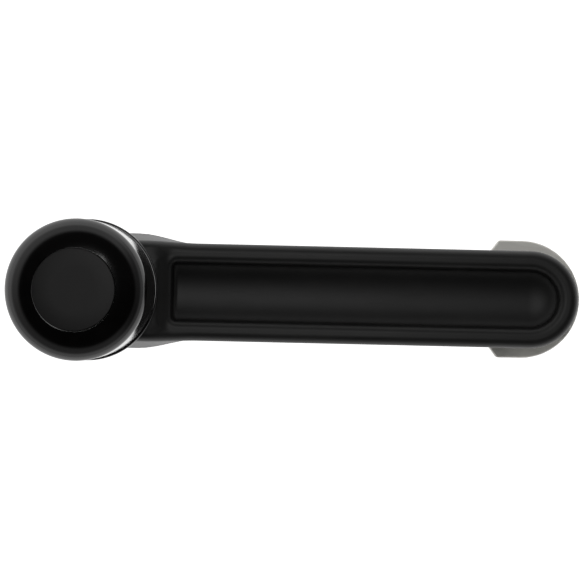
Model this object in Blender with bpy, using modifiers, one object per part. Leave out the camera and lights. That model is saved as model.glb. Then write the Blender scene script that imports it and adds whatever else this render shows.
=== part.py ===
"""Winch handle: a moulded arm with a turning palm knob at one end and a steel drive spigot at the other.

Four balls near the tip of the spigot lock it into the winch. Lifting the grey collar under the arm
raises a tapered plunger inside the spigot, and the balls sink in. A spring pushes the plunger back.

Metres, +Z up. The origin is on the drive axis, on the shoulder that rests on the winch.
The knob stands over -X. Run it with: blender --background --python part.py
"""

import math

import bmesh
import bpy
from mathutils import Matrix, Vector

# Clearances
GAP = 0.0003  # between pieces that touch
FIT = 0.00015  # around pins and threads
RUNNING_GAP = 0.0010  # between the arm and the turning knob

# Arm
REACH = 0.2032  # drive axis to knob axis, 8 in
HUB_END_WALL = 0.0022  # what the arm keeps round the hub's flange
ARM_DEPTH = 0.0240
ARM_EDGE = 0.0025
RIM_WIDTH = 0.0092
TROUGH_DEPTH = 0.0090
TROUGH_WALL = 0.0035  # the upright part of the trough's side
TROUGH_FROM_KNOB = 0.0383
TROUGH_CORNER = 0.0022
BOSS_FLARE = 0.0047  # how far the knob end stands out each side
FLARE_NEAR = 0.0210  # from the knob axis
FLARE_FAR = 0.0500
BOSS_RISE = 0.0025
RAMP_NEAR = 0.0300  # from the knob axis
RAMP_FAR = 0.0370
POCKET_COUNT = 5
POCKET_RIB = 0.0030
POCKET_SIDE_WALL = 0.0055
POCKET_ROOF = 0.0035
POCKET_CORNER = 0.0030
POCKET_FROM_KNOB = 0.0380
POCKET_FROM_COLLAR = 0.0040

# Drive spigot and hub
DRIVE_AF = 0.01746  # across the flats of each square of the eight-point star, 11/16 in
POINT_BLUNT = 0.00045
SPIGOT_CHAMFER = 0.0015
SPIGOT_FLOOR = 0.0030
SHOULDER = 0.0011  # how far the hub's column stands out past the star's points
FLANGE_THICKNESS = 0.0030
HEX_HEIGHT = 0.0070
HEX_AF = 0.0240
CAP_THICKNESS = 0.0011

# Lock
LIFT = 0.0060
LIFT_SPARE = 0.0005
BALL_COUNT = 4
BALL_DIAMETER = 0.0060
BALL_DEPTH = 0.0240  # below the shoulder
BALL_PROUD = 0.0016
BALL_SUNK = 0.0001
BALL_PLAY = 0.00025
BALL_BORE_PLAY = 0.00015
LIP_PLAY = 0.0012
LIP_INSET = 0.00015  # how much narrower than the ball the mouth of its bore is
PIN_DIAMETER = 0.0040
PIN_HEIGHT = 0.0066
PLUNGER_TOP = 0.0180
PLUNGER_TIP = 0.0005
PLUNGER_SPARE = 0.0005  # under the plunger's tip
PIP_HEIGHT = 0.0030
SPRING_WIRE = 0.0010
SPRING_TURNS = 5.5
SPRING_PLAY = 0.0007

# Collar
SLEEVE_WALL = 0.0047
SLEEVE_BOTTOM = 0.0032
WING_BOTTOM = 0.0095
WING_THICKNESS = 0.0050
WING_REACH = 0.0057  # how far the wings stand out past the arm
WING_STRAIGHT = 0.0110
WING_SLANT = (0.0045, 0.0060)
WING_EDGE = 0.0009
COLLAR_BACK = 0.0190

# Countersunk screws and their inserts
SCREW_RADIUS = 0.0015
SCREW_HEAD = 0.0030
SCREW_EDGE = 0.0005  # metal left outside a head
SCREW_SUNK = 0.0001
SCREW_LENGTH = 0.0090
SOCKET_RADIUS = 0.00115
SOCKET_DEPTH = 0.0012
HUB_SCREW_COUNT = 4
INSERT_RADIUS = 0.0023
INSERT_LENGTH = 0.0057
INSERT_END = 0.0007

# Knob
KNOB_HEIGHT = 0.0460
LIP_RADIUS = 0.0323
LIP_HEIGHT = 0.0025
KNOB_FOOT_RADIUS = 0.0313
KNOB_SHOULDER_RADIUS = 0.0309
KNOB_ROUNDING = 0.0085  # height of the rounded top edge
KNOB_WALL = 0.0026
CAP_RADIUS = 0.0179
CAP_DEPTH = 0.0018
WELL_SPARE = 0.0029  # between the retaining screw and the cap's seat
KNOB_TUBE_WALL = 0.0030
WELL_WALL = 0.0026
BASE_SCREW_COUNT = 3
BASE_SCREW_CIRCLE = 0.0250
BASE_POST_RADIUS = 0.0044
BASE_POST_HEIGHT = 0.0110
BASE_HOLE_RADIUS = 0.0135
BASE_STEP_HEIGHT = 0.0013
BASE_STEP_INNER = 0.0200
SEAL_INNER = 0.0155
SEAL_WIDTH = 0.0040
SEAL_DEPTH = 0.0009  # how deep the seal sits in the knob's base

# Spindle and bearings
SPINDLE_RADIUS = 0.0060
STUD_RADIUS = 0.0050
SPINDLE_FLANGE_RADIUS = 0.0110
SPINDLE_FLANGE = 0.0022
NUT_AF = 0.0160
NUT_HEIGHT = 0.0077
NUT_RECESS_RADIUS = 0.0110
NUT_RECESS_DEPTH = 0.0100
WASHER_THICKNESS = 0.0015
THRUST_THICKNESS = 0.0010
THRUST_RADIUS = 0.0108
BUSH_WALL = 0.0024
BUSH_FLANGE = 0.0014
BUSH_FLANGE_RADIUS = 0.0110
BUSH_LENGTH = 0.0080
END_PLAY = 0.0004
RETAINER_RADIUS = 0.0105
RETAINER_THICKNESS = 0.0017
RETAINING_SCREW_RADIUS = 0.0022
RETAINING_HEAD_RADIUS = 0.0047
RETAINING_HEAD_HEIGHT = 0.0032
RETAINING_SCREW_LENGTH = 0.0160

ROUND = 36  # sides of a large turned piece
SMALL_ROUND = 16
END_STEP = 9  # degrees between the points of a rounded end

# Levels, from the spigot upwards
BALL_LEVEL = -BALL_DEPTH
PLUNGER_BOTTOM = BALL_LEVEL - LIFT - PLUNGER_TIP
BORE_BOTTOM = PLUNGER_BOTTOM - PLUNGER_SPARE
SPIGOT_TIP = BORE_BOTTOM - SPIGOT_FLOOR
WING_TOP = WING_BOTTOM + WING_THICKNESS
ARM_BOTTOM = WING_TOP + LIFT + LIFT_SPARE
FLANGE_TOP = ARM_BOTTOM + FLANGE_THICKNESS
HEX_TOP = FLANGE_TOP + HEX_HEIGHT
CAP_BOTTOM = HEX_TOP + GAP
CAP_TOP = CAP_BOTTOM + CAP_THICKNESS
ARM_TOP = ARM_BOTTOM + ARM_DEPTH
TROUGH_FLOOR = ARM_TOP - TROUGH_DEPTH
BOSS_TOP = ARM_TOP + BOSS_RISE
KNOB_BOTTOM = BOSS_TOP + RUNNING_GAP
SHELL_BOTTOM = KNOB_BOTTOM + LIP_HEIGHT + GAP
KNOB_TOP = KNOB_BOTTOM + KNOB_HEIGHT
CAP_SEAT = KNOB_TOP - CAP_DEPTH - GAP
SPINDLE_FLANGE_BOTTOM = BOSS_TOP + GAP
JOURNAL_BOTTOM = SPINDLE_FLANGE_BOTTOM + SPINDLE_FLANGE
RETAINING_HEAD_TOP = CAP_SEAT - WELL_SPARE
RETAINING_HEAD_BOTTOM = RETAINING_HEAD_TOP - RETAINING_HEAD_HEIGHT
RETAINER_BOTTOM = RETAINING_HEAD_BOTTOM - GAP - RETAINER_THICKNESS
JOURNAL_TOP = RETAINER_BOTTOM - GAP
THRUST_BOTTOM = JOURNAL_BOTTOM + GAP
LOWER_BUSH_BOTTOM = THRUST_BOTTOM + THRUST_THICKNESS + GAP
UPPER_BUSH_TOP = JOURNAL_TOP - END_PLAY
NUT_ROOF = ARM_BOTTOM + NUT_RECESS_DEPTH

# Radii and places
VALLEY_RADIUS = DRIVE_AF / 2 / math.cos(math.pi / 8)
POINT_RADIUS = DRIVE_AF / math.sqrt(2) - POINT_BLUNT
COLUMN_RADIUS = POINT_RADIUS + SHOULDER
SLEEVE_INNER = COLUMN_RADIUS + GAP
SLEEVE_RADIUS = SLEEVE_INNER + SLEEVE_WALL
HUB_SCREW_CIRCLE = COLUMN_RADIUS + SCREW_EDGE + SCREW_HEAD
FLANGE_RADIUS = HUB_SCREW_CIRCLE + SCREW_HEAD + SCREW_EDGE
ARM_HALF = FLANGE_RADIUS + GAP + HUB_END_WALL
TROUGH_HALF = ARM_HALF - RIM_WIDTH
BOSS_HALF = ARM_HALF + BOSS_FLARE
COLLAR_RADIUS = ARM_HALF + WING_REACH
BALL_RADIUS = BALL_DIAMETER / 2
BALL_OUT = VALLEY_RADIUS + BALL_PROUD - BALL_RADIUS
BALL_TRAVEL = BALL_PROUD + BALL_SUNK
PLUNGER_RADIUS = BALL_OUT - BALL_RADIUS - BALL_PLAY
BORE_RADIUS = PLUNGER_RADIUS + GAP
PIN_RADIUS = PIN_DIAMETER / 2
PIN_HALF_LENGTH = SLEEVE_RADIUS - SCREW_EDGE
SPRING_RADIUS = BORE_RADIUS - SPRING_PLAY - SPRING_WIRE / 2
PIP_RADIUS = SPRING_RADIUS - SPRING_WIRE / 2 - 2 * GAP
BUSH_INNER = SPINDLE_RADIUS + GAP
BUSH_OUTER = BUSH_INNER + BUSH_WALL
TUBE_INNER = BUSH_OUTER + GAP
TUBE_OUTER = TUBE_INNER + KNOB_TUBE_WALL
WELL_RADIUS = BUSH_FLANGE_RADIUS + GAP
KNOB_AXIS = Vector((-REACH, 0, 0))


def clear_scene():
    for obj in list(bpy.data.objects):
        bpy.data.objects.remove(obj, do_unlink=True)
    for group in list(bpy.data.collections):
        bpy.data.collections.remove(group)


def new_collection(name):
    group = bpy.data.collections.new(name)
    bpy.context.scene.collection.children.link(group)
    return group


def new_material(name, colour, roughness, metallic=0.0):
    material = bpy.data.materials.new(name)
    material.use_nodes = True
    shader = material.node_tree.nodes["Principled BSDF"]
    shader.inputs["Base Color"].default_value = (*colour, 1)
    shader.inputs["Roughness"].default_value = roughness
    shader.inputs["Metallic"].default_value = metallic
    return material


def new_axis(name, place):
    """An empty on an axis, which the pieces round that axis are parented to."""
    axis = bpy.data.objects.new(name, None)
    axis.location = place
    PARTS.objects.link(axis)
    return axis


def piece(obj, material, axis):
    """Makes the object a finished piece of the handle."""
    PARTS.objects.link(obj)
    obj.data.materials.append(material)
    obj.parent = axis
    return obj


def helper(obj, axis=None):
    """Makes the object a cutter, or a shape that only joins another."""
    HELPERS.objects.link(obj)
    obj.hide_render = True
    obj.display_type = "WIRE"
    obj.parent = axis
    return obj


def boolean(obj, other, operation):
    modifier = obj.modifiers.new(operation.title(), "BOOLEAN")
    modifier.operation = operation
    modifier.solver = "EXACT"
    modifier.object = other


def cut(obj, *cutters):
    for cutter in cutters:
        boolean(obj, cutter, "DIFFERENCE")


def join(obj, *others):
    for other in others:
        boolean(obj, other, "UNION")


def round_edges(obj, width, segments=2, angle=40):
    modifier = obj.modifiers.new("Edges", "BEVEL")
    modifier.width = width
    modifier.segments = segments
    modifier.limit_method = "ANGLE"
    modifier.angle_limit = math.radians(angle)


def turned(name, profile, steps=SMALL_ROUND, place=(0, 0, 0)):
    """A turned shape. Its profile runs down its outer side, and closes itself unless it starts on the axis."""
    mesh = bpy.data.meshes.new(name)
    edges = [(i, i + 1) for i in range(len(profile) - 1)]
    if profile[0][0] > 0:
        edges.append((len(profile) - 1, 0))
    mesh.from_pydata([(radius, 0, level) for radius, level in profile], edges, [])
    obj = bpy.data.objects.new(name, mesh)
    obj.location = place
    screw = obj.modifiers.new("Turn", "SCREW")
    screw.steps = steps
    screw.render_steps = steps
    screw.use_merge_vertices = True
    screw.merge_threshold = 0.00001
    return obj


def rod(name, radius, bottom, top, steps=SMALL_ROUND, place=(0, 0, 0)):
    mesh = bpy.data.meshes.new(name)
    shape = bmesh.new()
    middle = Matrix.Translation((0, 0, (top + bottom) / 2))
    bmesh.ops.create_cone(
        shape,
        cap_ends=True,
        segments=steps,
        radius1=radius,
        radius2=radius,
        depth=top - bottom,
        matrix=middle,
    )
    shape.to_mesh(mesh)
    shape.free()
    obj = bpy.data.objects.new(name, mesh)
    obj.location = place
    return obj


def ring(name, inner, outer, bottom, top, steps=SMALL_ROUND):
    return turned(name, [(inner, top), (outer, top), (outer, bottom), (inner, bottom)], steps)


def bar(name, start, direction, radius, length, steps=SMALL_ROUND):
    """A rod that lies along any direction."""
    obj = rod(name, radius, 0, length, steps, start)
    obj.rotation_mode = "QUATERNION"
    obj.rotation_quaternion = Vector(direction).to_track_quat("Z", "Y")
    return obj


def block(name, low, high):
    mesh = bpy.data.meshes.new(name)
    shape = bmesh.new()
    bmesh.ops.create_cube(shape, size=1)
    size = Vector(high) - Vector(low)
    bmesh.ops.scale(shape, vec=size, verts=shape.verts)
    bmesh.ops.translate(shape, vec=(Vector(high) + Vector(low)) / 2, verts=shape.verts)
    shape.to_mesh(mesh)
    shape.free()
    return bpy.data.objects.new(name, mesh)


def around(radius, degrees, level=0.0):
    turn = math.radians(degrees)
    return Vector((radius * math.cos(turn), radius * math.sin(turn), level))


def slab(name, outline, bottom, top):
    """A flat outline, as a filled curve with a thickness, made a mesh."""
    curve = bpy.data.curves.new(name, "CURVE")
    curve.dimensions = "2D"
    curve.fill_mode = "BOTH"
    curve.extrude = (top - bottom) / 2
    spline = curve.splines.new("POLY")
    spline.points.add(len(outline) - 1)
    for point, (x, y) in zip(spline.points, outline):
        point.co = (x, y, 0, 1)
    spline.use_cyclic_u = True
    source = bpy.data.objects.new(name, curve)
    HELPERS.objects.link(source)
    graph = bpy.context.evaluated_depsgraph_get()
    mesh = bpy.data.meshes.new_from_object(source.evaluated_get(graph))
    bpy.data.objects.remove(source)
    shape = bmesh.new()
    shape.from_mesh(mesh)
    bmesh.ops.remove_doubles(shape, verts=shape.verts, dist=0.000001)
    bmesh.ops.translate(shape, vec=(0, 0, (top + bottom) / 2), verts=shape.verts)
    bmesh.ops.recalc_face_normals(shape, faces=shape.faces)
    shape.to_mesh(mesh)
    shape.free()
    return bpy.data.objects.new(name, mesh)


def countersunk(name, bottom, length, place, grow=0.0, run_out=0.0):
    """A countersunk screw with its head down. With grow and run_out it is the hole for one."""
    shank = SCREW_RADIUS + grow
    head = SCREW_HEAD + grow
    cone = bottom + SCREW_HEAD - SCREW_RADIUS
    top = bottom + length
    profile = [(0, top), (shank, top), (shank, cone), (head, bottom)]
    if run_out:
        profile.append((head, bottom - run_out))
    profile.append((0, bottom - run_out))
    return turned(name, profile, SMALL_ROUND, place)


def screw_piece(name, bottom, length, place, axis):
    screw = piece(countersunk(name, bottom, length, place), STEEL, axis)
    socket_bottom = bottom - SOCKET_DEPTH
    socket = rod(name + "_socket", SOCKET_RADIUS, socket_bottom, bottom + SOCKET_DEPTH, 6, place)
    cut(screw, helper(socket, axis))


# Arm


def arm_outline():
    """Once round the arm from above: the drive end, one flare, the knob end, the other flare."""
    side = []
    flare_steps = 7
    for step in range(flare_steps + 1):
        share = step / flare_steps
        along = FLARE_FAR + (FLARE_NEAR - FLARE_FAR) * share
        swell = share * share * (3 - 2 * share)
        side.append((along - REACH, ARM_HALF + BOSS_FLARE * swell))
    drive_end = [around(ARM_HALF, angle) for angle in range(-90, 91, END_STEP)]
    knob_end = [around(BOSS_HALF, angle) + KNOB_AXIS for angle in range(90, 271, END_STEP)]
    outline = [(point.x, point.y) for point in drive_end]
    outline += side
    outline += [(point.x, point.y) for point in knob_end]
    outline += [(x, -y) for x, y in reversed(side)]
    return outline


def arm_blank():
    """The arm before its hollows: level along its length, with a ramp up to the knob's boss."""
    blank = slab("arm_body", arm_outline(), ARM_BOTTOM, BOSS_TOP)
    clear = 0.01
    ramp = block(
        "ramp_cutter",
        (RAMP_NEAR - REACH, -BOSS_HALF - clear, ARM_TOP),
        (ARM_HALF + clear, BOSS_HALF + clear, BOSS_TOP + clear),
    )
    rise = (RAMP_FAR - RAMP_NEAR) / BOSS_RISE
    for corner in ramp.data.vertices:
        if corner.co.x < 0:
            corner.co.x += rise * (BOSS_TOP - corner.co.z)
    cut(blank, helper(ramp))
    round_edges(blank, ARM_EDGE, 2, 25)
    return blank


def trough_section():
    """Half of the trough's section, as (distance from the middle, level), from the floor up."""
    floor_steps = 6
    bowl_depth = TROUGH_DEPTH - TROUGH_WALL
    section = []
    for step in range(floor_steps + 1):
        turn = math.pi / 2 * step / floor_steps
        section.append((TROUGH_HALF * math.sin(turn), ARM_TOP - TROUGH_WALL - bowl_depth * math.cos(turn)))
    section.append((TROUGH_HALF, ARM_TOP + ARM_EDGE))
    return section


def trough_cutter():
    """Spins the half section round the drive axis, then draws both ends out towards the knob."""
    shape = bmesh.new()
    verts = [shape.verts.new((0, across, level)) for across, level in trough_section()]
    edges = [shape.edges.new(pair) for pair in zip(verts, verts[1:])]
    spun = bmesh.ops.spin(
        shape,
        geom=verts + edges,
        axis=(0, 0, 1),
        cent=(0, 0, 0),
        angle=-math.pi,
        steps=SMALL_ROUND,
    )
    last = [item for item in spun["geom_last"] if isinstance(item, bmesh.types.BMEdge)]
    drawn = bmesh.ops.extrude_edge_only(shape, edges=edges + last)["geom"]
    moved = [item for item in drawn if isinstance(item, bmesh.types.BMVert)]
    bmesh.ops.translate(shape, vec=(TROUGH_FROM_KNOB - REACH, 0, 0), verts=moved)
    bmesh.ops.remove_doubles(shape, verts=shape.verts, dist=0.000001)
    far_x = min(vert.co.x for vert in shape.verts)
    open_edges = [edge for edge in shape.edges if edge.is_boundary]
    far = [edge for edge in open_edges if all(vert.co.x < far_x + GAP for vert in edge.verts)]
    rim = sorted((vert for vert in shape.verts if vert.co.x < far_x + GAP), key=lambda vert: vert.co.z)
    far.append(shape.edges.new(rim[-2:]))
    bmesh.ops.contextual_create(shape, geom=far)
    rest = [edge for edge in shape.edges if edge.is_boundary]
    bmesh.ops.holes_fill(shape, edges=rest, sides=0)
    bmesh.ops.recalc_face_normals(shape, faces=shape.faces)
    end_edges = [
        edge
        for edge in shape.edges
        if max(vert.co.x for vert in edge.verts) < far_x + GAP
        and min(vert.co.z for vert in edge.verts) < ARM_TOP
    ]
    bmesh.ops.bevel(
        shape, geom=end_edges, offset=TROUGH_CORNER, segments=2, profile=0.5, affect="EDGES", material=-1
    )
    mesh = bpy.data.meshes.new("trough_cutter")
    shape.to_mesh(mesh)
    shape.free()
    return helper(bpy.data.objects.new("trough_cutter", mesh))


def pocket_cutters():
    """The weight-saving pockets under the arm, with a rib between each two."""
    start = POCKET_FROM_KNOB - REACH
    end = -COLLAR_RADIUS - POCKET_FROM_COLLAR
    length = (end - start - POCKET_RIB * (POCKET_COUNT - 1)) / POCKET_COUNT
    half = ARM_HALF - POCKET_SIDE_WALL
    clear = 0.005
    cutters = []
    for number in range(POCKET_COUNT):
        low = start + number * (length + POCKET_RIB)
        pocket = block(
            f"pocket_cutter_{number + 1}",
            (low, -half, ARM_BOTTOM - clear),
            (low + length, half, TROUGH_FLOOR - POCKET_ROOF),
        )
        round_edges(pocket, POCKET_CORNER)
        cutters.append(helper(pocket))
    return cutters


def hub_cutters():
    """The seat for the hub in the arm: its flange, its hexagon, the spring's cap and the inserts."""
    clear = 0.005
    below = ARM_BOTTOM - clear
    hexagon_corner = (HEX_AF / 2 + GAP) / math.cos(math.pi / 6)
    cutters = [
        rod("flange_cutter", FLANGE_RADIUS + GAP, below, FLANGE_TOP + GAP, ROUND),
        rod("hexagon_cutter", hexagon_corner, below, HEX_TOP + GAP, 6),
        rod("spring_cap_cutter", HEX_AF / 2, below, CAP_TOP + GAP, ROUND),
    ]
    for number in range(HUB_SCREW_COUNT):
        place = hub_screw_place(number)
        top = FLANGE_TOP + 2 * GAP + INSERT_LENGTH + INSERT_END
        name = f"insert_cutter_{number + 1}"
        cutters.append(rod(name, INSERT_RADIUS + GAP, below, top, SMALL_ROUND, place))
    return [helper(cutter) for cutter in cutters]


def spindle_cutters():
    """The stud's hole through the boss and the recess for its nut."""
    clear = 0.005
    stud = rod("stud_cutter", STUD_RADIUS + GAP, ARM_BOTTOM, BOSS_TOP + clear, SMALL_ROUND, KNOB_AXIS)
    nut = rod("nut_cutter", NUT_RECESS_RADIUS, ARM_BOTTOM - clear, NUT_ROOF, ROUND, KNOB_AXIS)
    return [helper(stud), helper(nut)]


def make_arm_body():
    body = piece(arm_blank(), NYLON, DRIVE)
    cut(body, trough_cutter(), *pocket_cutters(), *hub_cutters(), *spindle_cutters())


# Drive hub


def hub_screw_place(number):
    return around(HUB_SCREW_CIRCLE, 45 + number * 360 / HUB_SCREW_COUNT)


def star_outline():
    """Two squares an eighth of a turn apart, with their eight points blunted."""
    blunt = math.degrees(math.acos(DRIVE_AF / 2 / POINT_RADIUS))
    outline = []
    for point in range(8):
        middle = 45 * point
        outline.append(around(POINT_RADIUS, middle - 45 + blunt))
        outline.append(around(POINT_RADIUS, middle + 45 - blunt))
        outline.append(around(VALLEY_RADIUS, middle + 22.5))
    return outline


def star_spigot():
    """The star, drawn down from inside the column to the tip's chamfer."""
    shape = bmesh.new()
    face = shape.faces.new([shape.verts.new(place) for place in star_outline()])
    bmesh.ops.translate(shape, vec=(0, 0, SHOULDER), verts=face.verts)
    share = 1 - SPIGOT_CHAMFER / VALLEY_RADIUS
    for level, scale in ((SPIGOT_TIP + SPIGOT_CHAMFER, 1), (SPIGOT_TIP, share)):
        drawn = bmesh.ops.extrude_face_region(shape, geom=[face])["geom"]
        if scale != 1:
            shape.faces.remove(face)
        face = next(item for item in drawn if isinstance(item, bmesh.types.BMFace))
        drop = level - face.calc_center_median().z
        bmesh.ops.translate(shape, vec=(0, 0, drop), verts=face.verts)
        bmesh.ops.scale(shape, vec=(scale, scale, 1), verts=face.verts)
    bmesh.ops.recalc_face_normals(shape, faces=shape.faces)
    mesh = bpy.data.meshes.new("star_spigot")
    shape.to_mesh(mesh)
    shape.free()
    return helper(bpy.data.objects.new("star_spigot", mesh))


def ball_direction(number):
    return around(1, 22.5 + number * 360 / BALL_COUNT)


def ball_cutters():
    """Each ball's bore, from the middle out, and the narrower mouth that keeps the ball in."""
    cutters = []
    start = (0, 0, BALL_LEVEL)
    lip = BALL_OUT + LIP_PLAY
    bore_radius = BALL_RADIUS + BALL_BORE_PLAY
    mouth_radius = BALL_RADIUS - LIP_INSET
    for number in range(BALL_COUNT):
        direction = ball_direction(number)
        bore = bar(f"ball_bore_cutter_{number + 1}", start, direction, bore_radius, lip)
        mouth = bar(f"ball_mouth_cutter_{number + 1}", start, direction, mouth_radius, POINT_RADIUS)
        cutters += [helper(bore), helper(mouth)]
    return cutters


def make_drive_hub():
    profile = [
        (0, FLANGE_TOP),
        (FLANGE_RADIUS, FLANGE_TOP),
        (FLANGE_RADIUS, ARM_BOTTOM),
        (COLUMN_RADIUS, ARM_BOTTOM),
        (COLUMN_RADIUS, 0),
        (0, 0),
    ]
    hub = piece(turned("drive_hub", profile, ROUND), STEEL, DRIVE)
    hexagon = rod("hub_hexagon", HEX_AF / 2 / math.cos(math.pi / 6), FLANGE_TOP - SHOULDER, HEX_TOP, 6)
    join(hub, star_spigot(), helper(hexagon))
    clear = 0.005
    bore = rod("bore_cutter", BORE_RADIUS, BORE_BOTTOM, HEX_TOP + clear, SMALL_ROUND)
    slot_half = PIN_RADIUS + GAP
    slot = block(
        "pin_slot_cutter",
        (-slot_half, -COLUMN_RADIUS - clear, PIN_HEIGHT - slot_half),
        (slot_half, COLUMN_RADIUS + clear, PIN_HEIGHT + LIFT + slot_half),
    )
    cut(hub, helper(bore), helper(slot), *ball_cutters())
    for number in range(HUB_SCREW_COUNT):
        hole = countersunk(
            f"hub_screw_hole_{number + 1}",
            ARM_BOTTOM + SCREW_SUNK,
            FLANGE_THICKNESS + clear,
            hub_screw_place(number),
            GAP,
            clear,
        )
        cut(hub, helper(hole))


def make_hub_fasteners():
    for number in range(HUB_SCREW_COUNT):
        place = hub_screw_place(number)
        screw_piece(f"hub_screw_{number + 1}", ARM_BOTTOM + SCREW_SUNK, SCREW_LENGTH, place, DRIVE)
        bottom = FLANGE_TOP + 2 * GAP
        insert = ring(
            f"hub_insert_{number + 1}", SCREW_RADIUS + FIT, INSERT_RADIUS, bottom, bottom + INSERT_LENGTH
        )
        insert.location = place
        piece(insert, BRASS, DRIVE)


# Lock


def make_lock_plunger():
    tip_radius = PLUNGER_RADIUS - BALL_TRAVEL
    profile = [
        (0, PLUNGER_TOP + PIP_HEIGHT),
        (PIP_RADIUS, PLUNGER_TOP + PIP_HEIGHT),
        (PIP_RADIUS, PLUNGER_TOP),
        (PLUNGER_RADIUS, PLUNGER_TOP),
        (PLUNGER_RADIUS, BALL_LEVEL),
        (tip_radius, BALL_LEVEL - LIFT),
        (tip_radius - PLUNGER_TIP, PLUNGER_BOTTOM),
        (0, PLUNGER_BOTTOM),
    ]
    plunger = piece(turned("lock_plunger", profile), STEEL, DRIVE)
    half = PLUNGER_RADIUS + GAP
    hole = bar("plunger_hole_cutter", (0, -half, PIN_HEIGHT), (0, 1, 0), PIN_RADIUS + FIT, 2 * half)
    cut(plunger, helper(hole))


def make_cross_pin():
    start = (0, -PIN_HALF_LENGTH, PIN_HEIGHT)
    pin = bar("cross_pin", start, (0, 1, 0), PIN_RADIUS, 2 * PIN_HALF_LENGTH)
    piece(pin, STEEL, DRIVE)


def make_lock_balls():
    for number in range(BALL_COUNT):
        mesh = bpy.data.meshes.new("lock_ball")
        shape = bmesh.new()
        bmesh.ops.create_uvsphere(shape, u_segments=12, v_segments=8, radius=BALL_RADIUS)
        shape.to_mesh(mesh)
        shape.free()
        ball = bpy.data.objects.new(f"lock_ball_{number + 1}", mesh)
        ball.location = ball_direction(number) * BALL_OUT + Vector((0, 0, BALL_LEVEL))
        piece(ball, STEEL, DRIVE)


def make_lock_spring():
    """A coil from the plunger up to the cap, with room for the wire at both ends."""
    bottom = PLUNGER_TOP + GAP + SPRING_WIRE / 2
    top = CAP_BOTTOM - GAP - SPRING_WIRE / 2
    per_turn = 10
    count = int(SPRING_TURNS * per_turn)
    curve = bpy.data.curves.new("lock_spring", "CURVE")
    curve.dimensions = "3D"
    curve.bevel_depth = SPRING_WIRE / 2
    curve.bevel_resolution = 2
    curve.use_fill_caps = True
    spline = curve.splines.new("POLY")
    spline.points.add(count)
    for step, point in enumerate(spline.points):
        place = around(SPRING_RADIUS, 360 * step / per_turn, bottom + (top - bottom) * step / count)
        point.co = (*place, 1)
    piece(bpy.data.objects.new("lock_spring", curve), STEEL, DRIVE)


def make_spring_cap():
    piece(rod("spring_cap", HEX_AF / 2 - GAP, CAP_BOTTOM, CAP_TOP, ROUND), STEEL, DRIVE)


def collar_outline():
    """The collar from above: round past the arm's end, straight sides, then slanted in under the arm."""
    slant_x, slant_y = WING_SLANT
    half = [
        (-WING_STRAIGHT, COLLAR_RADIUS),
        (-WING_STRAIGHT - slant_x, COLLAR_RADIUS - slant_y),
        (-COLLAR_BACK, COLLAR_RADIUS - 2 * slant_y),
    ]
    end = [around(COLLAR_RADIUS, angle) for angle in range(-90, 91, END_STEP)]
    outline = [(place.x, place.y) for place in end]
    return outline + half + [(x, -y) for x, y in reversed(half)]


def make_lock_collar():
    collar = piece(slab("lock_collar", collar_outline(), WING_BOTTOM, WING_TOP), GREY, DRIVE)
    round_edges(collar, WING_EDGE)
    sleeve = rod("collar_sleeve", SLEEVE_RADIUS, SLEEVE_BOTTOM, WING_TOP - WING_EDGE, ROUND)
    join(collar, helper(sleeve))
    clear = 0.005
    bore = rod("collar_bore_cutter", SLEEVE_INNER, SLEEVE_BOTTOM - clear, WING_TOP + clear, ROUND)
    half = SLEEVE_RADIUS + clear
    hole = bar("collar_pin_cutter", (0, -half, PIN_HEIGHT), (0, 1, 0), PIN_RADIUS + FIT, 2 * half)
    cut(collar, helper(bore), helper(hole))


# Spindle and its bearings


def make_grip_spindle():
    hole = RETAINING_SCREW_RADIUS + GAP
    hole_bottom = JOURNAL_TOP - RETAINING_SCREW_LENGTH - GAP
    chamfer = 0.0005
    profile = [
        (0, hole_bottom),
        (hole, hole_bottom),
        (hole, JOURNAL_TOP),
        (SPINDLE_RADIUS - chamfer, JOURNAL_TOP),
        (SPINDLE_RADIUS, JOURNAL_TOP - chamfer),
        (SPINDLE_RADIUS, JOURNAL_BOTTOM),
        (SPINDLE_FLANGE_RADIUS, JOURNAL_BOTTOM),
        (SPINDLE_FLANGE_RADIUS, SPINDLE_FLANGE_BOTTOM),
        (STUD_RADIUS, SPINDLE_FLANGE_BOTTOM),
        (STUD_RADIUS, ARM_BOTTOM + chamfer),
        (0, ARM_BOTTOM + chamfer),
    ]
    piece(turned("grip_spindle", profile), STEEL, KNOB)


def make_spindle_fasteners():
    washer_top = NUT_ROOF - GAP
    washer_bottom = washer_top - WASHER_THICKNESS
    washer = ring("spindle_washer", STUD_RADIUS + GAP, NUT_AF / 2 + FIT, washer_bottom, washer_top)
    piece(washer, STEEL, KNOB)
    nut_top = washer_bottom - GAP
    nut_corner = NUT_AF / 2 / math.cos(math.pi / 6)
    nut = piece(rod("spindle_nut", nut_corner, nut_top - NUT_HEIGHT, nut_top, 6), STEEL, KNOB)
    hole = rod("nut_hole_cutter", STUD_RADIUS + GAP, ARM_BOTTOM - NUT_HEIGHT, NUT_ROOF + NUT_HEIGHT)
    cut(nut, helper(hole, KNOB))


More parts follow.
